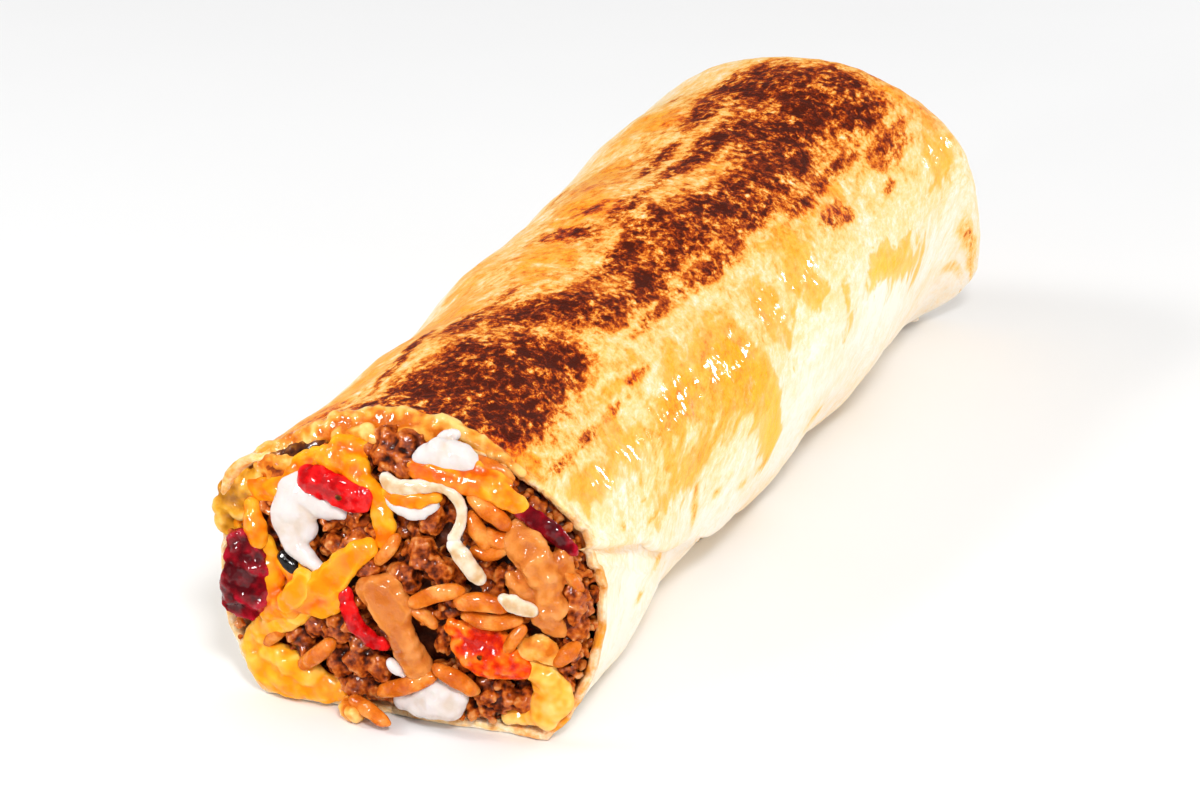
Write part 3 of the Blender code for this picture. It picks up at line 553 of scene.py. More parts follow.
def ripple(x, y, z, size, seed=0.0):
    """Smooth noise from about -1 to 1 at a place, whose bumps are about size across."""
    return noise.noise(Vector((x / size + seed, y / size - seed, z / size + 2 * seed)))


def ripples(x, y, z, rows):
    """The sum of ripples, each with its height, size and seed."""
    return sum(height * ripple(x, y, z, size, seed) for height, size, seed in rows)


def round_turn(angle):
    """An angle as the same one from -180 to 180."""
    return (angle + 180) % 360 - 180


def part_way(value, low, high):
    """How far value is from low to high, as a share from 0 to 1."""
    return min(max((value - low) / (high - low), 0.0), 1.0)


def colour(red, green, blue):
    """A screen colour from 0 to 255 as the linear numbers that a shader takes."""
    shares = [value / 255 for value in (red, green, blue)]
    return tuple(((s + 0.055) / 1.055) ** 2.4 if s > 0.04045 else s / 12.92 for s in shares) + (1.0,)


def mesh_object(name, points, faces, material):
    """A smooth-shaded object from points in millimetres."""
    data = bpy.data.meshes.new(name)
    data.from_pydata([tuple(point) for point in np.asarray(points) * MM], [], faces)
    data.validate()
    data.shade_smooth()
    data.materials.append(material)
    thing = bpy.data.objects.new(name, data)
    bpy.context.scene.collection.objects.link(thing)
    return thing


def tube(rings, columns, start=0):
    """The quads of a tube: rings of columns points each, one after another from point start on."""
    return [
        (row + k, row + (k + 1) % columns, row + columns + (k + 1) % columns, row + columns + k)
        for row in range(start, start + (rings - 1) * columns, columns) for k in range(columns)
    ]


def tell(mesh, name, values):
    """Gives each point of a mesh a number, or a row of three, that its finish reads."""
    values = np.array(values, np.float32)
    kind, field = ("FLOAT", "value") if values.ndim == 1 else ("FLOAT_VECTOR", "vector")
    mesh.attributes.new(name, kind, "POINT").data.foreach_set(field, values.ravel())


def place(thing, slot, *nodes):
    """Rides on the only body and stands for the nodes, whose parts it hides. The slot is not used."""
    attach(thing, "root")
    if nodes:
        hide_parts(*nodes)


def keep_within_cad(points):
    low, high = (np.array(corner) / MM for corner in CAD_BOX)
    return np.clip(points, low, high)


def face_y(x, z):
    """Where the filling's face is at x and z."""
    away = ((x - FACE_MIDDLE[0]) / FACE_HALF[0]) ** 2 + ((z - FACE_MIDDLE[1]) / FACE_HALF[1]) ** 2
    return LIP_Y + FACE_RIM - FACE_BULGE * max(1 - away, 0.0)


# --- materials


class Value:
    """What a node puts out. Sums, differences and products of values are nodes too."""

    def __init__(self, finish, socket):
        self.finish = finish
        self.socket = socket

    def maths(self, operation, other):
        return self.finish.add("ShaderNodeMath", {0: self, 1: other}, operation=operation)

    def __add__(self, other):
        return self.maths("ADD", other)

    def __sub__(self, other):
        return self.maths("SUBTRACT", other)

    def __mul__(self, other):
        return self.maths("MULTIPLY", other)


class Finish:
    """A material's nodes, with short ways to add those that the finishes here share."""

    def __init__(self, name, roughness, specular=0.5, glow=0.0, glow_reach=1.0, coat_roughness=0.1):
        self.material = bpy.data.materials.new(name)
        self.material.use_nodes = True
        self.nodes = self.material.node_tree.nodes
        self.shader = self.nodes["Principled BSDF"]
        values = {
            "Roughness": roughness, "Specular IOR Level": specular, "Coat Roughness": coat_roughness,
            "Coat IOR": 1.33, "Subsurface Weight": glow, "Subsurface Scale": glow_reach * MM,
            "Subsurface Radius": (1.0, 0.55, 0.3),
        }
        for socket, value in values.items():
            self.shader.inputs[socket].default_value = value

    def put(self, value, node, socket):
        """Sets a socket to a plain value, or links what another node puts out to it."""
        if isinstance(value, Value):
            self.material.node_tree.links.new(value.socket, node.inputs[socket])
        else:
            node.inputs[socket].default_value = value

    def add(self, kind, inputs, output=0, **settings):
        """What a new node with these inputs and settings puts out."""
        node = self.nodes.new(kind)
        for key, value in settings.items():
            setattr(node, key, value)
        for socket, value in inputs.items():
            self.put(value, node, socket)
        return Value(self, node.outputs[output])

    def attribute(self, name, output="Fac"):
        return self.add("ShaderNodeAttribute", {}, output, attribute_name=name)

    def noise(self, size, detail=3.0, rough=0.55, vector=None, twist=0.0):
        """Noise whose bumps are about size across, over the object's own coordinates or over a vector."""
        size = size if isinstance(size, tuple) else (size,) * 3
        unit = 1 if vector else MM
        vector = vector or self.add("ShaderNodeTexCoord", {}, "Object")
        scale = [1 / (unit * part) for part in size]
        inputs = {
            "Vector": self.add("ShaderNodeMapping", {"Vector": vector, "Scale": scale}, "Vector"),
            "Scale": 1.0, "Detail": detail, "Roughness": rough, "Distortion": twist,
        }
        return self.add("ShaderNodeTexNoise", inputs, "Fac")

    def steps(self, value, low, high, start=0.0, end=1.0):
        """Value taken from low..high to start..end, smoothly and no further."""
        inputs = {"Value": value, "From Min": low, "From Max": high, "To Min": start, "To Max": end}
        return self.add("ShaderNodeMapRange", inputs, "Result", interpolation_type="SMOOTHSTEP")

    def ramp(self, value, *stops):
        """The shade at a value between stops, each a place with its red, green and blue."""
        shade = self.add("ShaderNodeValToRGB", {"Fac": value}, "Color")
        elements = shade.socket.node.color_ramp.elements
        while len(elements) < len(stops):
            elements.new(0.5)
        for element, (position, *shares) in zip(elements, stops):
            element.position = position
            element.color = colour(*shares)
        return shade

    def mix(self, factor, first, second, blend):
        inputs = {0: factor, 6: first, 7: second}
        return self.add("ShaderNodeMix", inputs, 2, data_type="RGBA", blend_type=blend)

    def bump(self, height, distance, socket="Normal"):
        """Relief of the surface, or of its coat, whose full height is distance in millimetres."""
        relief = self.add("ShaderNodeBump", {"Height": height, "Distance": distance * MM}, "Normal")
        self.put(relief, self.shader, socket)

    def glints(self, size, distance, wetness):
        """A smoother relief of the wet coat alone, which breaks its reflections into bright points."""
        self.bump(self.noise(size, 1.0, 0.5), distance, "Coat Normal")
        self.put(wetness, self.shader, "Coat Weight")

    def wet_spots(self, size, share):
        """Wetness of 0 or 1 in spots about size across, which cover about a share of the surface."""
        edge = 0.5 + 0.24 * (0.5 - share)
        return self.steps(self.noise(size, 2.0, 0.5), edge - 0.05, edge + 0.05)

    def colour(self, source):
        self.put(source, self.shader, "Base Color")


def skin_finish():
    """Griddled flour tortilla: pale dough, golden and charred by the toast attribute, with yellow stains."""
    finish = Finish("tortilla_skin", 0.42, specular=0.04, glow=0.1)
    on_skin = finish.attribute("on_skin", "Vector")
    on_streaks = finish.attribute("on_streaks", "Vector")
    toast = finish.attribute("toast")
    blotches = finish.noise((4.0, 2.3, 1), 6.0, 0.68, on_skin, 0.4)
    flecks = finish.noise((1.5, 1.2, 1), 4.0, 0.72, on_skin, 0.3)
    drifts = finish.noise((16, 9, 1), 3.0, 0.5, on_skin)
    islands = finish.noise((7.0, 5.5, 1), 2.0, 0.5, on_skin)
    strength = toast * 1.7 + 0.1
    apart = (drifts - 0.5) * 0.2 + (islands - 0.5) * 1.3 * toast
    level = toast + (blotches - 0.5) * strength + ((flecks - 0.5) * (strength * 1.5) + apart)
    skin = finish.ramp(
        level, (0.00, 250, 238, 222), (0.13, 250, 217, 162), (0.27, 249, 198, 114), (0.38, 244, 168, 70),
        (0.47, 226, 122, 32), (0.57, 186, 76, 16), (0.68, 126, 40, 9), (0.86, 74, 22, 7),
    )
    streaks = finish.noise((2.4, 11, 1), 4.0, 0.5, on_streaks, 0.3) - 0.5
    pools = finish.noise((5.0, 4.0, 1), 3.0, 0.5, on_skin, 0.8) - 0.5
    smear = finish.attribute("smear") + (streaks * 0.6 + pools * 1.6)
    stained = finish.steps(smear, 0.26, 0.54) * finish.steps(smear, 0.3, 1.2, 0.75, 1.0)
    stain = finish.mix(finish.noise(6.0, 3.0, 0.5), colour(255, 215, 84), colour(255, 201, 46), "MIX")
    skin = finish.mix(stained, skin, stain, "MULTIPLY")
    patches = (finish.noise(2.6, 3.0, 0.6) - 0.5) * 1.6
    soaked = finish.steps(finish.attribute("soaked") + patches, 0.15, 0.75)
    finish.colour(finish.mix(soaked, skin, colour(236, 168, 62), "MULTIPLY"))
    finish.put(finish.steps(stained, 0.0, 0.6, 0.5, 0.36), finish.shader, "Roughness")
    pores = finish.noise(0.6, 4.0, 0.6)
    ridges = finish.noise((1.6, 1.6, 1), 3.0, 0.6, on_skin) * 2.0
    finish.bump(pores + blotches * toast * 2.0 + ridges, 0.2)
    finish.glints(2.2, 0.32, finish.wet_spots(3.0, 0.45) * finish.steps(finish.attribute("oil"), 0.3, 0.8))
    return finish.material


def beef_finish():
    """Braised minced beef: brown, with painted shade darkening its hollows and painted light on its crests,
    oily, with fine grain.
    """
    finish = Finish("beef_crumbles", 0.6, specular=0.06)
    fine = finish.noise(0.45, 3.0, 0.6)
    grainy = finish.noise(3.6, 3.0, 0.6) + (fine - 0.5) * 0.3
    # Painted shade and light: the ramp is read lower in the beef's hollows and higher on its crests.
    finish.colour(finish.ramp(
        grainy - finish.attribute("hollow") * BEEF_PAINTED_SHADE, (0.14, 30, 6, 1), (0.30, 84, 28, 4),
        (0.43, 136, 54, 8), (0.55, 176, 78, 14), (0.68, 198, 106, 36), (0.9, 216, 146, 82),
    ))
    finish.bump(fine, 0.2)
    finish.glints(1.6, 0.4, finish.wet_spots(1.8, 0.5))
    return finish.material


def core_finish():
    """The beef behind the crumbles: wet, its brown darkened as painted shade for the depth between them."""
    finish = Finish("beef_core", 0.5)
    finish.colour(finish.ramp(finish.noise(2.0, 3.0), (0.3, 48, 16, 6), (0.7, 128, 58, 20)))
    finish.bump(finish.noise(0.8, 3.0), 0.3)
    return finish.material


def topping_finish(name, size, roughness, wet, glow, reach, grain, depth, *shades):
    """A topping's finish, from its row of FINISHES, with painted shade in its hollows and painted light on
    its crests.
    """
    finish = Finish(name, roughness, 0.04, glow, reach, 0.08)
    # Painted shade and light: hollows read lower on the ramp and crests higher.
    crests = finish.attribute("hollow") * -TOPPING_PAINTED_SHADE
    finish.colour(finish.ramp(finish.noise(size, 3.0, 0.5) + crests, *shades))
    finish.bump(finish.noise(grain, 3.0, 0.55), depth)
    finish.glints(GLINT, GLINT_DEPTH, finish.wet_spots(GLINT, wet))
    return finish.material


# --- the tortilla


ROLL = smooth_path(STATIONS, STATION_STEPS)


def wave(angle, waves):
    """The sum of waves (angle, spread, height), each a bell round the roll, at an angle."""
    total = np.zeros_like(angle, float)
    for centre, spread, height in waves:
        total += height * np.exp(-((round_turn(angle - centre) / spread) ** 2))
    return total


def bells(depth, angle, rows, steepness=MARK_STEEPNESS):
    """The sum of soft spots (depth, angle, half length, half angle, strength) over the skin."""
    total = np.zeros_like(angle, float)
    for centre, turn, long, wide, strength in rows:
        away = ((depth - centre) / long) ** 2 + (round_turn(angle - turn) / wide) ** 2
        total += strength * np.exp(-(away**steepness))
    return total


def seam_angle(depth):
    """Where the free edge is at a depth."""
    left = 1 - part_way(depth, 0.0, SEAM_RUN)
    return SEAM_START + (SEAM_REST - SEAM_START) * (1 - left**SEAM_POWER)


def section(depth, angle, inset):
    """x and z round the roll at a depth, inset from the outer skin, and whether each rests on the table."""
    centre, half, widest, top, power = (np.interp(depth / LENGTH, ROLL[:, 0], row) for row in ROLL.T[1:])
    share = part_way(depth, LENGTH - TAIL, LENGTH)
    top = TAIL_HEIGHT + (top - TAIL_HEIGHT) * (1 - share**TAIL_POWER) ** (1 / TAIL_ROUND)
    widest *= 1 - (1 - 0.5 * TAIL_HEIGHT / widest) * share**2
    half *= 1 - TAIL_PINCH * share**3
    turn = np.radians(angle)
    cosine, sine = np.cos(turn), np.sin(turn)
    squareness = np.where(sine > 0, 2.0, power)
    swellings = [high * np.sin(depth / long + turns * turn + phase) for long, turns, phase, high in SWELLINGS]
    outward = sum(swellings) * (1 - share) - inset
    x = centre + np.sign(cosine) * np.abs(cosine) ** (2 / squareness) * (half + outward)
    reach = np.where(sine > 0, top - widest, widest + BASE_SINK * top) + outward
    z = widest + np.sign(sine) * np.abs(sine) ** (2 / squareness) * reach
    lowest = np.maximum(inset, 0.0) + TAIL_LIFT * share**3
    return x, np.maximum(z, lowest), z <= lowest


def skin_columns():
    """Degrees from the free edge, and the share of its step, all the way round the roll."""
    columns = list(FLAP_EDGE)
    away = FLAP_EDGE[-1][0]
    while away > -360 + FLAP_EDGE[0][0] + COLUMN_STEP:
        away -= UNDER_STEP if UNDER[0] < away < UNDER[1] else COLUMN_STEP
        columns.append((away, 1.0))
    columns = np.array(columns)
    columns[:, 0] = np.where(columns[:, 0] < -180, columns[:, 0] + 360, columns[:, 0])
    columns[len(FLAP_EDGE):, 1] = np.where(columns[len(FLAP_EDGE):, 0] > 0, 0.0, 1.0)
    return columns


COLUMNS = skin_columns()


def skin_ring(depth, inset, inside=False):
    """Points round the roll, which step down at the free edge outside, their angles, and which ones rest."""
    away, step = COLUMNS[:, 0], COLUMNS[:, 1]
    middle = 0.5 * (SEAM_START + SEAM_REST)
    edge = seam_angle(depth)
    angle = middle + away + (edge - middle) * np.clip(1 - np.abs(away) / SEAM_REACH, 0, 1) ** SEAM_POWER
    apart = np.abs(round_turn(angle - edge))
    covered = np.clip(1 - apart / SEAM_FADE, 0, 1) ** SEAM_FADE_POWER * np.where(inside, 1.0, step)
    ending = part_way(LENGTH - TAIL - depth, 0.0, TAIL)
    fade = math.exp(-max(depth, 0) / FLARE_DEPTH)
    x, z, resting = section(depth, angle, inset)
    move = np.where(resting, 0, wave(angle, LIP_FLARES) * fade - SEAM_STEP * covered * ending)
    x = x + np.cos(np.radians(angle)) * move
    y = LIP_Y + depth + wave(angle, LIP_WAVES) * fade
    z = np.maximum(z + np.sin(np.radians(angle)) * move, max(inset, 0.0))
    return rounded_end(np.stack([x, y, z], 1), depth), angle, resting


def rounded_end(ring, depth):
    """A ring drawn in towards its middle near the folded end, for a soft edge round it."""
    share = part_way(depth, LENGTH - END_ROUND, LENGTH)
    drawn = 1 - END_DRAW * (1 - math.sqrt(1 - share**2))
    middle = ring.mean(0)
    across = middle + (ring - middle) * drawn
    return np.stack([across[:, 0], ring[:, 1], np.where(ring[:, 2] > RESTING, across[:, 2], ring[:, 2])], 1)


def skin_relief(toast, x, y, z):
    """How far the skin stands out at one place: soft lumps, fine wrinkles and the blisters of its char."""
    wrinkles = ripples(*(a * b for a, b in zip((x, y, z), WRINKLE_SHAPE)), WRINKLES)
    return ripples(x, y, z, LUMPS) + wrinkles + toast * ripples(x, y, z, BLISTERS)


def outward_from(ring):
    """The direction out of the skin, across the roll, at each point of a ring."""
    ahead = np.roll(ring, -1, 0) - np.roll(ring, 1, 0)
    out = np.stack([ahead[:, 2], np.zeros(len(ring)), -ahead[:, 0]], 1)
    return out / np.maximum(np.linalg.norm(out, axis=1, keepdims=True), 1e-9)


def soak(depth, angle, inset):
    """How far cheese and fat have soaked the inside of the lip, most of all at its right and at its ear."""
    if inset < OUTSIDE and depth > SOAKED_DEPTH:
        return np.full_like(angle, -1.0)
    return np.clip(SOAKED + wave(angle, SOAKED_SIDES), 0, 1)


def skin_rings():
    """Each ring's depth, inset and whether it is outside: on the skin, round the lip and down the inside."""
    first, last = RING_SPAN
    rings = [(LENGTH - back, 0.0, True) for back in FIRST_RINGS]
    rings += [(depth, 0.0, True) for depth in np.arange(last, first, -RING_STEP)]
    for turn in np.linspace(0, math.pi, LIP_RINGS):
        inset = 0.5 * LIP * (1 - math.cos(turn))
        rings.append((0.5 * LIP * (1 - math.sin(turn)), inset, inset < 0.6 * LIP))
    for depth in np.linspace(*INNER_SPAN, INNER_RINGS):
        rings.append((depth, LIP + (LAYER - LIP) * min(depth / LIP_TAPER, 1), False))
    return rings


def make_tortilla(material):
    """The skin, in rings from the folded end to the lip and a little way back inside it."""
    points, run, before = [], 0.0, None
    told = {name: [] for name in ("toast", "smear", "oil", "soaked", "on_skin", "on_streaks")}
    rings = skin_rings()
    for depth, inset, outside in rings:
        ring, angle, resting = skin_ring(depth, inset, inside=not outside and depth > LIP_DEPTH)
        run = run + np.linalg.norm(ring - (ring if before is None else before), axis=1)
        before = ring
        toast = CHAR * (1 - np.exp(-CHAR_GAIN * bells(depth, angle, MARKS))) + bells(depth, angle, GOLDEN)
        edge = math.exp(-max(depth, 0.0) / EDGE_DEPTH)
        arc = ARC * round_turn(angle - 90)
        for spot, out, level, along, rests in zip(ring, outward_from(ring), toast, arc, resting):
            stands = skin_relief(level, *spot) * (1.0 if outside else INSIDE_SHARE)
            stands += edge * ripples(along, 0.0, 0.0, LIP_BUMPS)
            ragged = abs(ripples(along, 0.0, 0.0, RAGGED)) * edge
            points.append(spot + out * (0.0 if rests else stands) + (0.0, ragged, 0.0))
        on_outside = inset < OUTSIDE
        smear = bells(depth, angle, SMEARS, SMEAR_STEEPNESS) * on_outside
        told["toast"].extend(toast if outside and on_outside else INSIDE_TOAST[0] * toast + INSIDE_TOAST[1])
        told["smear"].extend(smear)
        told["oil"].extend(smear * wave(angle, OILY_SIDE))
        told["soaked"].extend(soak(depth, angle, inset))
        layer = np.full(len(ring), inset)
        told["on_skin"].extend(np.stack([run, arc, layer], 1))
        streaks = (run + STREAK_SLANT * np.abs(arc), np.abs(arc) + STREAK_LEFT * (arc > 0), layer)
        told["on_streaks"].extend(np.stack(streaks, 1))
    points = keep_within_cad(np.array(points))
    skin = mesh_object("tortilla_skin", points, tube(len(rings), len(COLUMNS)), material)
    for name, values in told.items():
        tell(skin.data, name, values)
    place(skin, "tortilla", "tortilla")


def tail_fold(x, z, share):
    """How deep the tucks of the folded end are, at a place on its flat back."""
    up = z - 0.5 * TAIL_HEIGHT - TAIL_LIFT
    across = (x - STATIONS[-1][1]) / STATIONS[-1][2]
    deep, half, high, turns, start = TAIL_SEAM
    seam = deep * math.exp(-(((up - high * math.sin(turns * across + start)) / half) ** 2))
    deep, half, out, spread = TAIL_TUCKS
    tucks = deep * math.exp(-(((abs(across) - out - spread * up) / half) ** 2))
    return (1 - share) * (seam + tucks)


def make_tail(material):
    """The flat back of the folded end, with its tucks."""
    rim = skin_ring(LENGTH, 0.0)[0]
    middle = rim.mean(0)
    points = []
    for share in TAIL_SHARES:
        for x, y, z in middle + (rim - middle) * share:
            points.append((x, y - tail_fold(x, z, share**6) - TAIL_IN, z))
    points.append(tuple(middle))
    columns = len(rim)
    last = (len(TAIL_SHARES) - 1) * columns
    faces = tube(len(TAIL_SHARES), columns)
    faces += [(last + k, last + (k + 1) % columns, len(points) - 1) for k in range(columns)]
    tail = mesh_object("tortilla_tail", points, faces, material)
    for name, value in (("toast", 0.1), ("smear", 0.0), ("oil", 0.0), ("soaked", -1.0)):
        tell(tail.data, name, [value] * len(points))
    for name in ("on_skin", "on_streaks"):
        tell(tail.data, name, [(x, z, 0) for x, _, z in points])
    place(tail, "tortilla", "tortilla")


# --- balls that melt together


def ball_template(fineness):
    """The points and triangles of a ball of radius 1."""
    mesh = bmesh.new()
    bmesh.ops.create_icosphere(mesh, subdivisions=fineness, radius=1.0)
    points = np.array([vertex.co for vertex in mesh.verts])
    faces = np.array([[vertex.index for vertex in face.verts] for face in mesh.faces])
    mesh.free()
    return points, faces


def blunted(points, power):
    """Points of a round ball moved out towards the box round it, more so for a higher power."""
    return points / (np.abs(points) ** power).sum(1, keepdims=True) ** (1 / power)


BALLS = {fineness: ball_template(fineness) for fineness in (1, 2)}
BALLS["block"] = (blunted(BALLS[2][0], BLOCK_POWER), BALLS[2][1])


def ball(shapes, centre, radii, turn, kind):
    """Adds a ball with three radii, turned about its middle, to a list of shapes."""
    points, faces = BALLS[kind]
    shapes.append((points * radii @ np.array(turn.to_matrix()).T + centre, faces))


def mesh_points(mesh):
    """The points of a mesh in millimetres, and its normals there."""
    places = np.array([vertex.co for vertex in mesh.vertices]) / MM
    return places, np.array([vertex.normal for vertex in mesh.vertices])


def mark_hollows(mesh):
    """Tells each point of a mesh how hollow it is there: about 0.5 in its hollows and -0.5 on its crests. The
    finishes paint shade and light from it.
    """
    ends = np.empty(2 * len(mesh.edges), np.int64)
    mesh.edges.foreach_get("vertices", ends)
    count = len(mesh.vertices)
    first, second = np.concatenate([ends[0::2], ends[1::2]]), np.concatenate([ends[1::2], ends[0::2]])
    neighbours = np.maximum(np.bincount(first, minlength=count), 1)
    places, normals = mesh_points(mesh)
    smoothed = places
    for _ in range(HOLLOW_ROUNDS):
        sums = [np.bincount(first, smoothed[second, axis], count) for axis in range(3)]
        smoothed = np.stack(sums, 1) / neighbours[:, None]
    depths = ((smoothed - places) * normals).sum(1)
    low, middle, high = np.percentile(depths, (10, 50, 90))
    tell(mesh, "hollow", np.clip((depths - middle) / max(high - low, 1e-6), -1, 1))


def melted(name, shapes, voxel, smoothing, material, relief):
    """The closed shapes run together into one skin, smoothed, and given noise (height, size) as relief."""
    starts = np.cumsum([0] + [len(points) for points, _ in shapes])
    faces = np.vstack([faces + start for (_, faces), start in zip(shapes, starts)])
    thing = mesh_object(name, np.vstack([points for points, _ in shapes]), faces.tolist(), material)
    remesh = thing.modifiers.new("melt", "REMESH")
    remesh.mode = "VOXEL"
    remesh.voxel_size = voxel * MM
    if smoothing:
        smooth = thing.modifiers.new("smooth", "SMOOTH")
        smooth.factor = 0.5
        smooth.iterations = smoothing
    graph = bpy.context.evaluated_depsgraph_get()
    done = bpy.data.meshes.new_from_object(thing.evaluated_get(graph))
    thing.modifiers.clear()
    rough = thing.data
    thing.data = done
    bpy.data.meshes.remove(rough)
    places, normals = mesh_points(done)
    for k, (height, size) in enumerate(relief):
        moves = np.array([ripple(*spot, size, 3.0 + k) for spot in places]) * height
        places = places + normals * moves[:, None]
    done.vertices.foreach_set("co", (keep_within_cad(places) * MM).ravel())
    done.update()
    mark_hollows(done)
    done.shade_smooth()
    done.materials.clear()
    done.materials.append(material)
    return thing


# --- the filling


COVERS = np.vstack([smooth_path(path, COVER_STEPS) for name in COVERING for path in TOPPINGS[name][-1]])


def make_beef(material):
    """Clumps of small grains over the whole face, with dark gaps between them."""
    dice = random.Random(BEEF_SEED)
    shapes = []
    columns, rows = (int(2 * half / CLUMP_STEP) + 2 for half in FACE_HALF)
    for row in range(rows):
        for column in range(columns):
            across = column + 0.5 * (row % 2) + dice.uniform(-CLUMP_SHIFT, CLUMP_SHIFT)
            x = FACE_MIDDLE[0] - FACE_HALF[0] + across * CLUMP_STEP
            z = CLUMP_FIRST + (row + dice.uniform(-CLUMP_SHIFT, CLUMP_SHIFT)) * CLUMP_STEP
            add_clump(shapes, x, z, dice.uniform(*CLUMP_PROUD), dice)
    for x, z, proud in EXTRA_CLUMPS:
        add_clump(shapes, x, z, proud, dice, EXTRA_SCALE)
        turn = Euler((0.0, dice.uniform(0, 3), dice.uniform(-CHUNK_TILT, CHUNK_TILT)))
        ball(shapes, (x, face_y(x, z) + CHUNK_BACK - proud, z), CHUNK, turn, "block")
    for turn in range(-180, 180, RIM_TURN):
        add_rim_clump(shapes, turn, dice)
    shapes = [tucked(points, faces) for points, faces in shapes]
    heights = np.array([points[:, 2].mean() for points, _ in shapes])
    for k, (low, high) in enumerate(zip(BEEF_BANDS, BEEF_BANDS[1:])):
        band = [shapes[i] for i in np.flatnonzero((heights >= low) & (heights < high))]
        place(melted(f"beef_crumbles_{k + 1}", band, BEEF_VOXEL, 0, material, BEEF_RELIEF), "beef", "filling")


def tucked(points, faces):
    """A grain of beef, moved back behind the middle of any topping that lies over it."""
    x, front, z = points[:, 0].mean(), points[:, 1].min(), points[:, 2].mean()
    over = COVERS[np.hypot(COVERS[:, 0] - x, COVERS[:, 1] - z) < COVERS[:, 3]]
    if len(over):
        points = points + (0.0, max(face_y(x, z) - over[:, 2].max() + TUCK - front, 0.0), 0.0)
    return points, faces


def inside_face(x, z, margin):
    """Whether a place on the face is at least margin inside its outline."""
    below = z < FACE_MIDDLE[1]
    power = FACE_CORNER if below else 2.0
    reach = FACE_BELOW if below else FACE_HALF[1]
    across = abs((x - FACE_MIDDLE[0]) / (FACE_HALF[0] - margin))
    along = abs((z - FACE_MIDDLE[1]) / (reach - margin))
    return across**power + along**power < 1 and z > margin


def add_rim_clump(shapes, turn, dice):
    """Beef that fills the roll right up to its lip, wherever the lip is drawn back."""
    low, high, back = RIM_HELD_BACK
    recess = back if low < turn < high else 0.0
    turn = np.array([float(turn)])
    side, along = RIM_SHIFT
    for depth in np.arange(0.0, max(float(wave(turn, LIP_WAVES)[0]), 0.0) + RIM_DEPTH, RIM_STEP):
        x, z, _ = section(depth, turn, RIM_INSET)
        towards = Vector((FACE_MIDDLE[0] - x[0], 0.0, FACE_MIDDLE[1] - z[0])).normalized()
        for _ in range(RIM_GRAINS):
            inwards = dice.uniform(0.0, RIM_WIDTH)
            spot = (
                x[0] + towards.x * inwards + dice.uniform(-side, side),
                LIP_Y + depth + recess + dice.uniform(-along, along),
                max(z[0] + towards.z * inwards + dice.uniform(-side, side), RIM_LOWEST),
            )
            size = dice.uniform(*GRAIN)
            turned = Euler((dice.uniform(0, 3), 0.0, dice.uniform(0, 3)))
            ball(shapes, spot, (size, size * RIM_GRAIN_LONG, size), turned, 1)


def add_clump(shapes, x, z, proud, dice, scale=1.0):
    """A clump of beef: grains that each grow on one before them."""
    grains = [(0.0, 0.0, 0.0)]
    for _ in range(int(CLUMP_GRAINS * scale)):
        start = grains[dice.randrange(len(grains))]
        turn = Vector([dice.gauss(0, spread) for spread in GRAIN_SPREAD]).normalized()
        step = dice.uniform(*GRAIN_STEP)
        grain = tuple(a + b * step for a, b in zip(start, turn))
        if Vector(grain).length < CLUMP_REACH * scale:
            grains.append(grain)
    chunks = {dice.randrange(len(grains)) for _ in range(CLUMP_CHUNKS)}
    for k, (dx, dy, dz) in enumerate(grains):
        gx, gz = x + dx, z + dz
        gap = any(math.hypot(gx - hx, gz - hz) < reach for hx, hz, reach in HOLLOWS)
        if gap or not inside_face(gx, gz, CLUMP_MARGIN):
            continue
        size = dice.uniform(*GRAIN)
        turn = Euler([dice.uniform(0, 3) for _ in range(3)])
        radii = np.array((size * dice.uniform(*GRAIN_LONG), size, size * dice.uniform(*GRAIN_HIGH)))
        if k in chunks:
            radii *= CHUNK_SCALE
        spot = (gx, face_y(gx, gz) + CLUMP_BACK - proud + dy, gz)
        ball(shapes, spot, radii, turn, "block" if k in chunks else 1)


def make_core(material):
    """The body of the filling behind the crumbles, its dark finish partly painted shade."""
    points = []
    for r in range(CORE_RINGS + 1):
        share = 1 - r / CORE_RINGS
        for k in range(CORE_COLUMNS):
            turn = 2 * math.pi * k / CORE_COLUMNS
            x = FACE_MIDDLE[0] + (FACE_HALF[0] - CORE_MARGIN) * share * math.cos(turn)
            z = FACE_MIDDLE[1] + (FACE_HALF[1] - CORE_MARGIN) * share * math.sin(turn)
            points.append((x, face_y(x, z) + CORE_BACK + CORE_BUMPS[0] * ripple(x, 0, z, CORE_BUMPS[1]), z))
    core = mesh_object("filling_core", points, tube(CORE_RINGS + 1, CORE_COLUMNS), material)
    place(core, "beef", "filling")


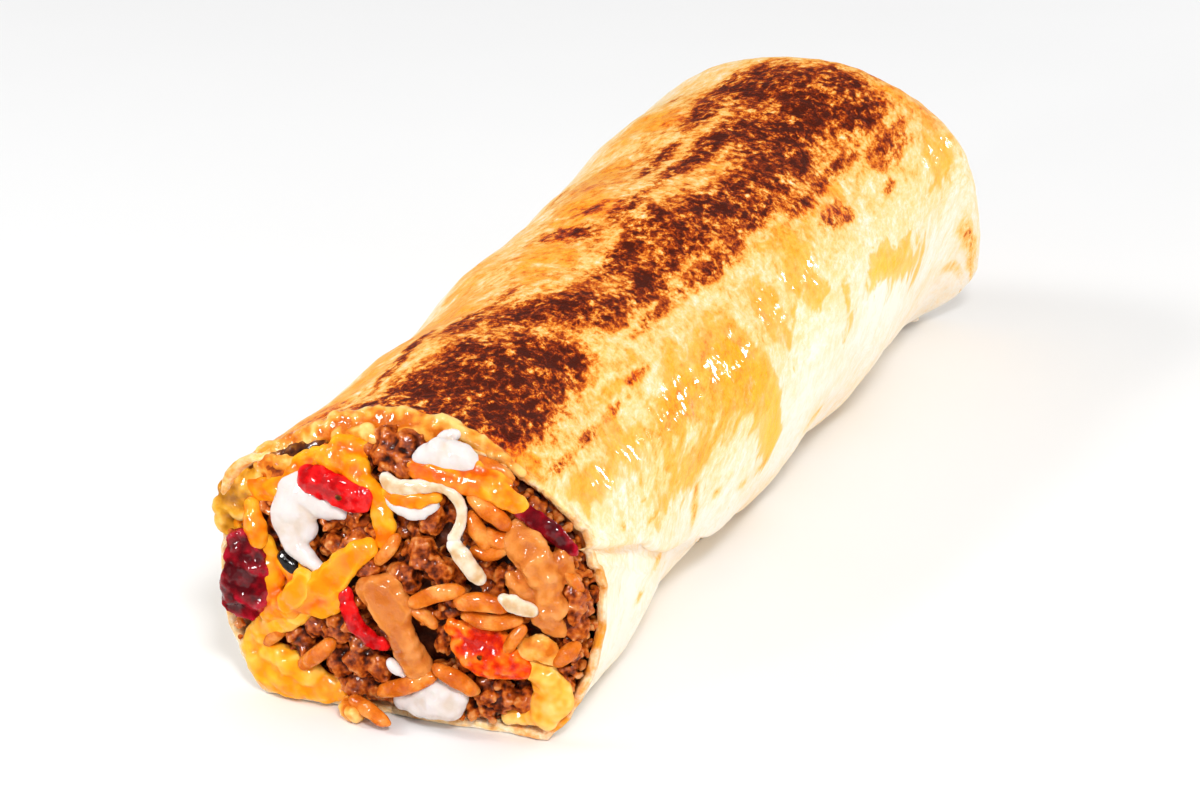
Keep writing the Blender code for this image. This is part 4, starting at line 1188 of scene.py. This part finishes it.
def make_rice(name, grains, material, node, seed):
    """Cooked rice: slim grains through three points each, a little bent, blunt at their ends."""
    dice = random.Random(seed)
    count, high, twist = RICE_RIDGES
    points, faces = [], []
    for *spots, radius in grains:
        keys = [(x, face_y(x, z) - proud, z) for x, z, proud in spots]
        line = smooth_path(keys, RICE_STEPS) * RICE_BEND + np.mean(keys, axis=0) * (1 - RICE_BEND)
        ahead = np.gradient(line, axis=0)
        ahead /= np.linalg.norm(ahead, axis=1)[:, None]
        side = np.cross(ahead, RICE_FRONT)
        side /= np.linalg.norm(side, axis=1)[:, None]
        up = np.cross(side, ahead)
        start = len(points)
        squash = dice.uniform(*RICE_FLAT)
        radius *= RICE_PLUMP
        last = len(line) - 1
        stops = [(0, -past, share) for past, share in RICE_ENDS] + [(k, 0.0, 1.0) for k in range(last + 1)]
        stops += [(last, past, share) for past, share in reversed(RICE_ENDS)]
        for k, onward, share in stops:
            belly = RICE_BELLY[0] + RICE_BELLY[1] * math.sin(math.pi * k / last)
            middle = line[k] + ahead[k] * onward * radius
            for s in range(RICE_SIDES):
                turn = 2 * math.pi * s / RICE_SIDES
                ridge = 1 + high * math.sin(count * turn + radius * twist)
                reach = radius * share * belly * ridge
                across = side[k] * math.cos(turn) + up[k] * math.sin(turn) * squash
                points.append(middle + across * reach)
        faces += tube(len(stops), RICE_SIDES, start)
        faces.append(tuple(range(start + RICE_SIDES - 1, start - 1, -1)))
        faces.append(tuple(range(len(points) - RICE_SIDES, len(points))))
    points = np.array([point + ripples(*point, (RICE_BUMPS,)) for point in points])
    rice = mesh_object(name, keep_within_cad(points), faces, material)
    smooth = rice.modifiers.new("smooth", "SUBSURF")
    smooth.levels = smooth.render_levels = 1
    place(rice, "rice", node)


# --- the toppings


def add_stroke(shapes, path, dice, kind):
    """Balls along a path on the face, each about as wide and as thick as the path is there."""
    rows = smooth_path(path, STROKE_STEPS)
    ahead = np.gradient(rows[:, :2], axis=0)
    for (x, z, proud, wide, thick), (dx, dz) in zip(rows, ahead):
        wide *= dice.uniform(1 - STROKE_UNEVEN, 1 + STROKE_UNEVEN)
        shift = dice.uniform(-STROKE_UNEVEN, STROKE_UNEVEN) * wide
        x, z = x + shift, z - shift
        turn = Euler((0.0, -math.atan2(dz, dx), 0.0))
        ball(shapes, (x, face_y(x, z) - proud, z), (wide, thick, wide), turn, kind)


def make_toppings(materials):
    """Each piece of TOPPINGS from its strokes, with dice that only the length of its name sets."""
    for name, (finish, slot, node, smoothing, relief, kind, strokes) in TOPPINGS.items():
        dice = random.Random(len(name))
        shapes = []
        for path in strokes:
            add_stroke(shapes, path, dice, kind)
        thing = melted(name, shapes, TOPPING_VOXEL, smoothing, materials[finish], relief)
        place(thing, slot, *([node] if node else []))


# --- stage


def floor_finish():
    finish = Finish("floor", 0.8, specular=0.2)
    greys = [(k, grey, grey, grey) for k, grey in enumerate(FLOOR_GREYS)]
    finish.colour(finish.ramp(finish.noise(60.0, 2.0), *greys))
    return finish.material


def make_stage():
    half, height = FLOOR
    corners = [(x * half, y * half, height) for x, y in ((-1, -1), (1, -1), (1, 1), (-1, 1))]
    mesh_object("floor", corners, [(0, 1, 2, 3)], floor_finish())
    make_sky()
    for lamp in LAMPS:
        soft_light(*lamp)
    bpy.context.scene.view_settings.view_transform = "Standard"


def make_sky():
    """A plain white dome, brighter overhead than at the horizon."""
    world = bpy.data.worlds.new("studio")
    world.use_nodes = True
    nodes, links = world.node_tree.nodes, world.node_tree.links
    height = nodes.new("ShaderNodeSeparateXYZ")
    links.new(nodes.new("ShaderNodeTexCoord").outputs["Generated"], height.inputs[0])
    strength = nodes.new("ShaderNodeMapRange")
    links.new(height.outputs["Z"], strength.inputs["Value"])
    strength.inputs["To Min"].default_value = SKY[0]
    strength.inputs["To Max"].default_value = SKY[1]
    nodes["Background"].inputs["Color"].default_value = (1.0, 1.0, 1.0, 1.0)
    links.new(strength.outputs["Result"], nodes["Background"].inputs["Strength"])
    bpy.context.scene.world = world


def soft_light(name, spot, size, power, diffuse):
    """A square light aimed at the middle of the roll. Without diffuse, only reflections show it."""
    light = bpy.data.lights.new(name, "AREA")
    light.size = size * MM
    light.energy = power
    lamp = bpy.data.objects.new(name, light)
    lamp.location = Vector(spot) * MM
    lamp.rotation_euler = (AIM - Vector(spot)).to_track_quat("-Z", "Y").to_euler()
    lamp.visible_camera = False
    lamp.visible_diffuse = diffuse
    bpy.context.scene.collection.objects.link(lamp)


def make_camera():
    around, up = math.radians(AZIMUTH), math.radians(ELEVATION)
    way = Vector((math.sin(around) * math.cos(up), -math.cos(around) * math.cos(up), math.sin(up)))
    camera = bpy.data.objects.new("camera", bpy.data.cameras.new("camera"))
    camera.data.lens = LENS
    camera.location = (AIM + way * DISTANCE) * MM
    camera.rotation_euler = (-way).to_track_quat("-Z", "Y").to_euler()
    bpy.context.scene.collection.objects.link(camera)
    bpy.context.scene.camera = camera


# --- the whole


def make_scene():
    make_camera()
    make_stage()
    skin = skin_finish()
    make_tortilla(skin)
    make_tail(skin)
    make_core(core_finish())
    make_beef(beef_finish())
    materials = {name: topping_finish(name, *row) for name, row in FINISHES.items()}
    heap = RICE[:LOOSE_GRAIN] + RICE[LOOSE_GRAIN + 1:]
    make_rice("rice_grains", heap, materials["rice"], "filling", 5)
    make_rice("loose_rice", RICE[LOOSE_GRAIN:LOOSE_GRAIN + 1], materials["rice"], "rice_loose", 6)
    make_toppings(materials)


make_scene()
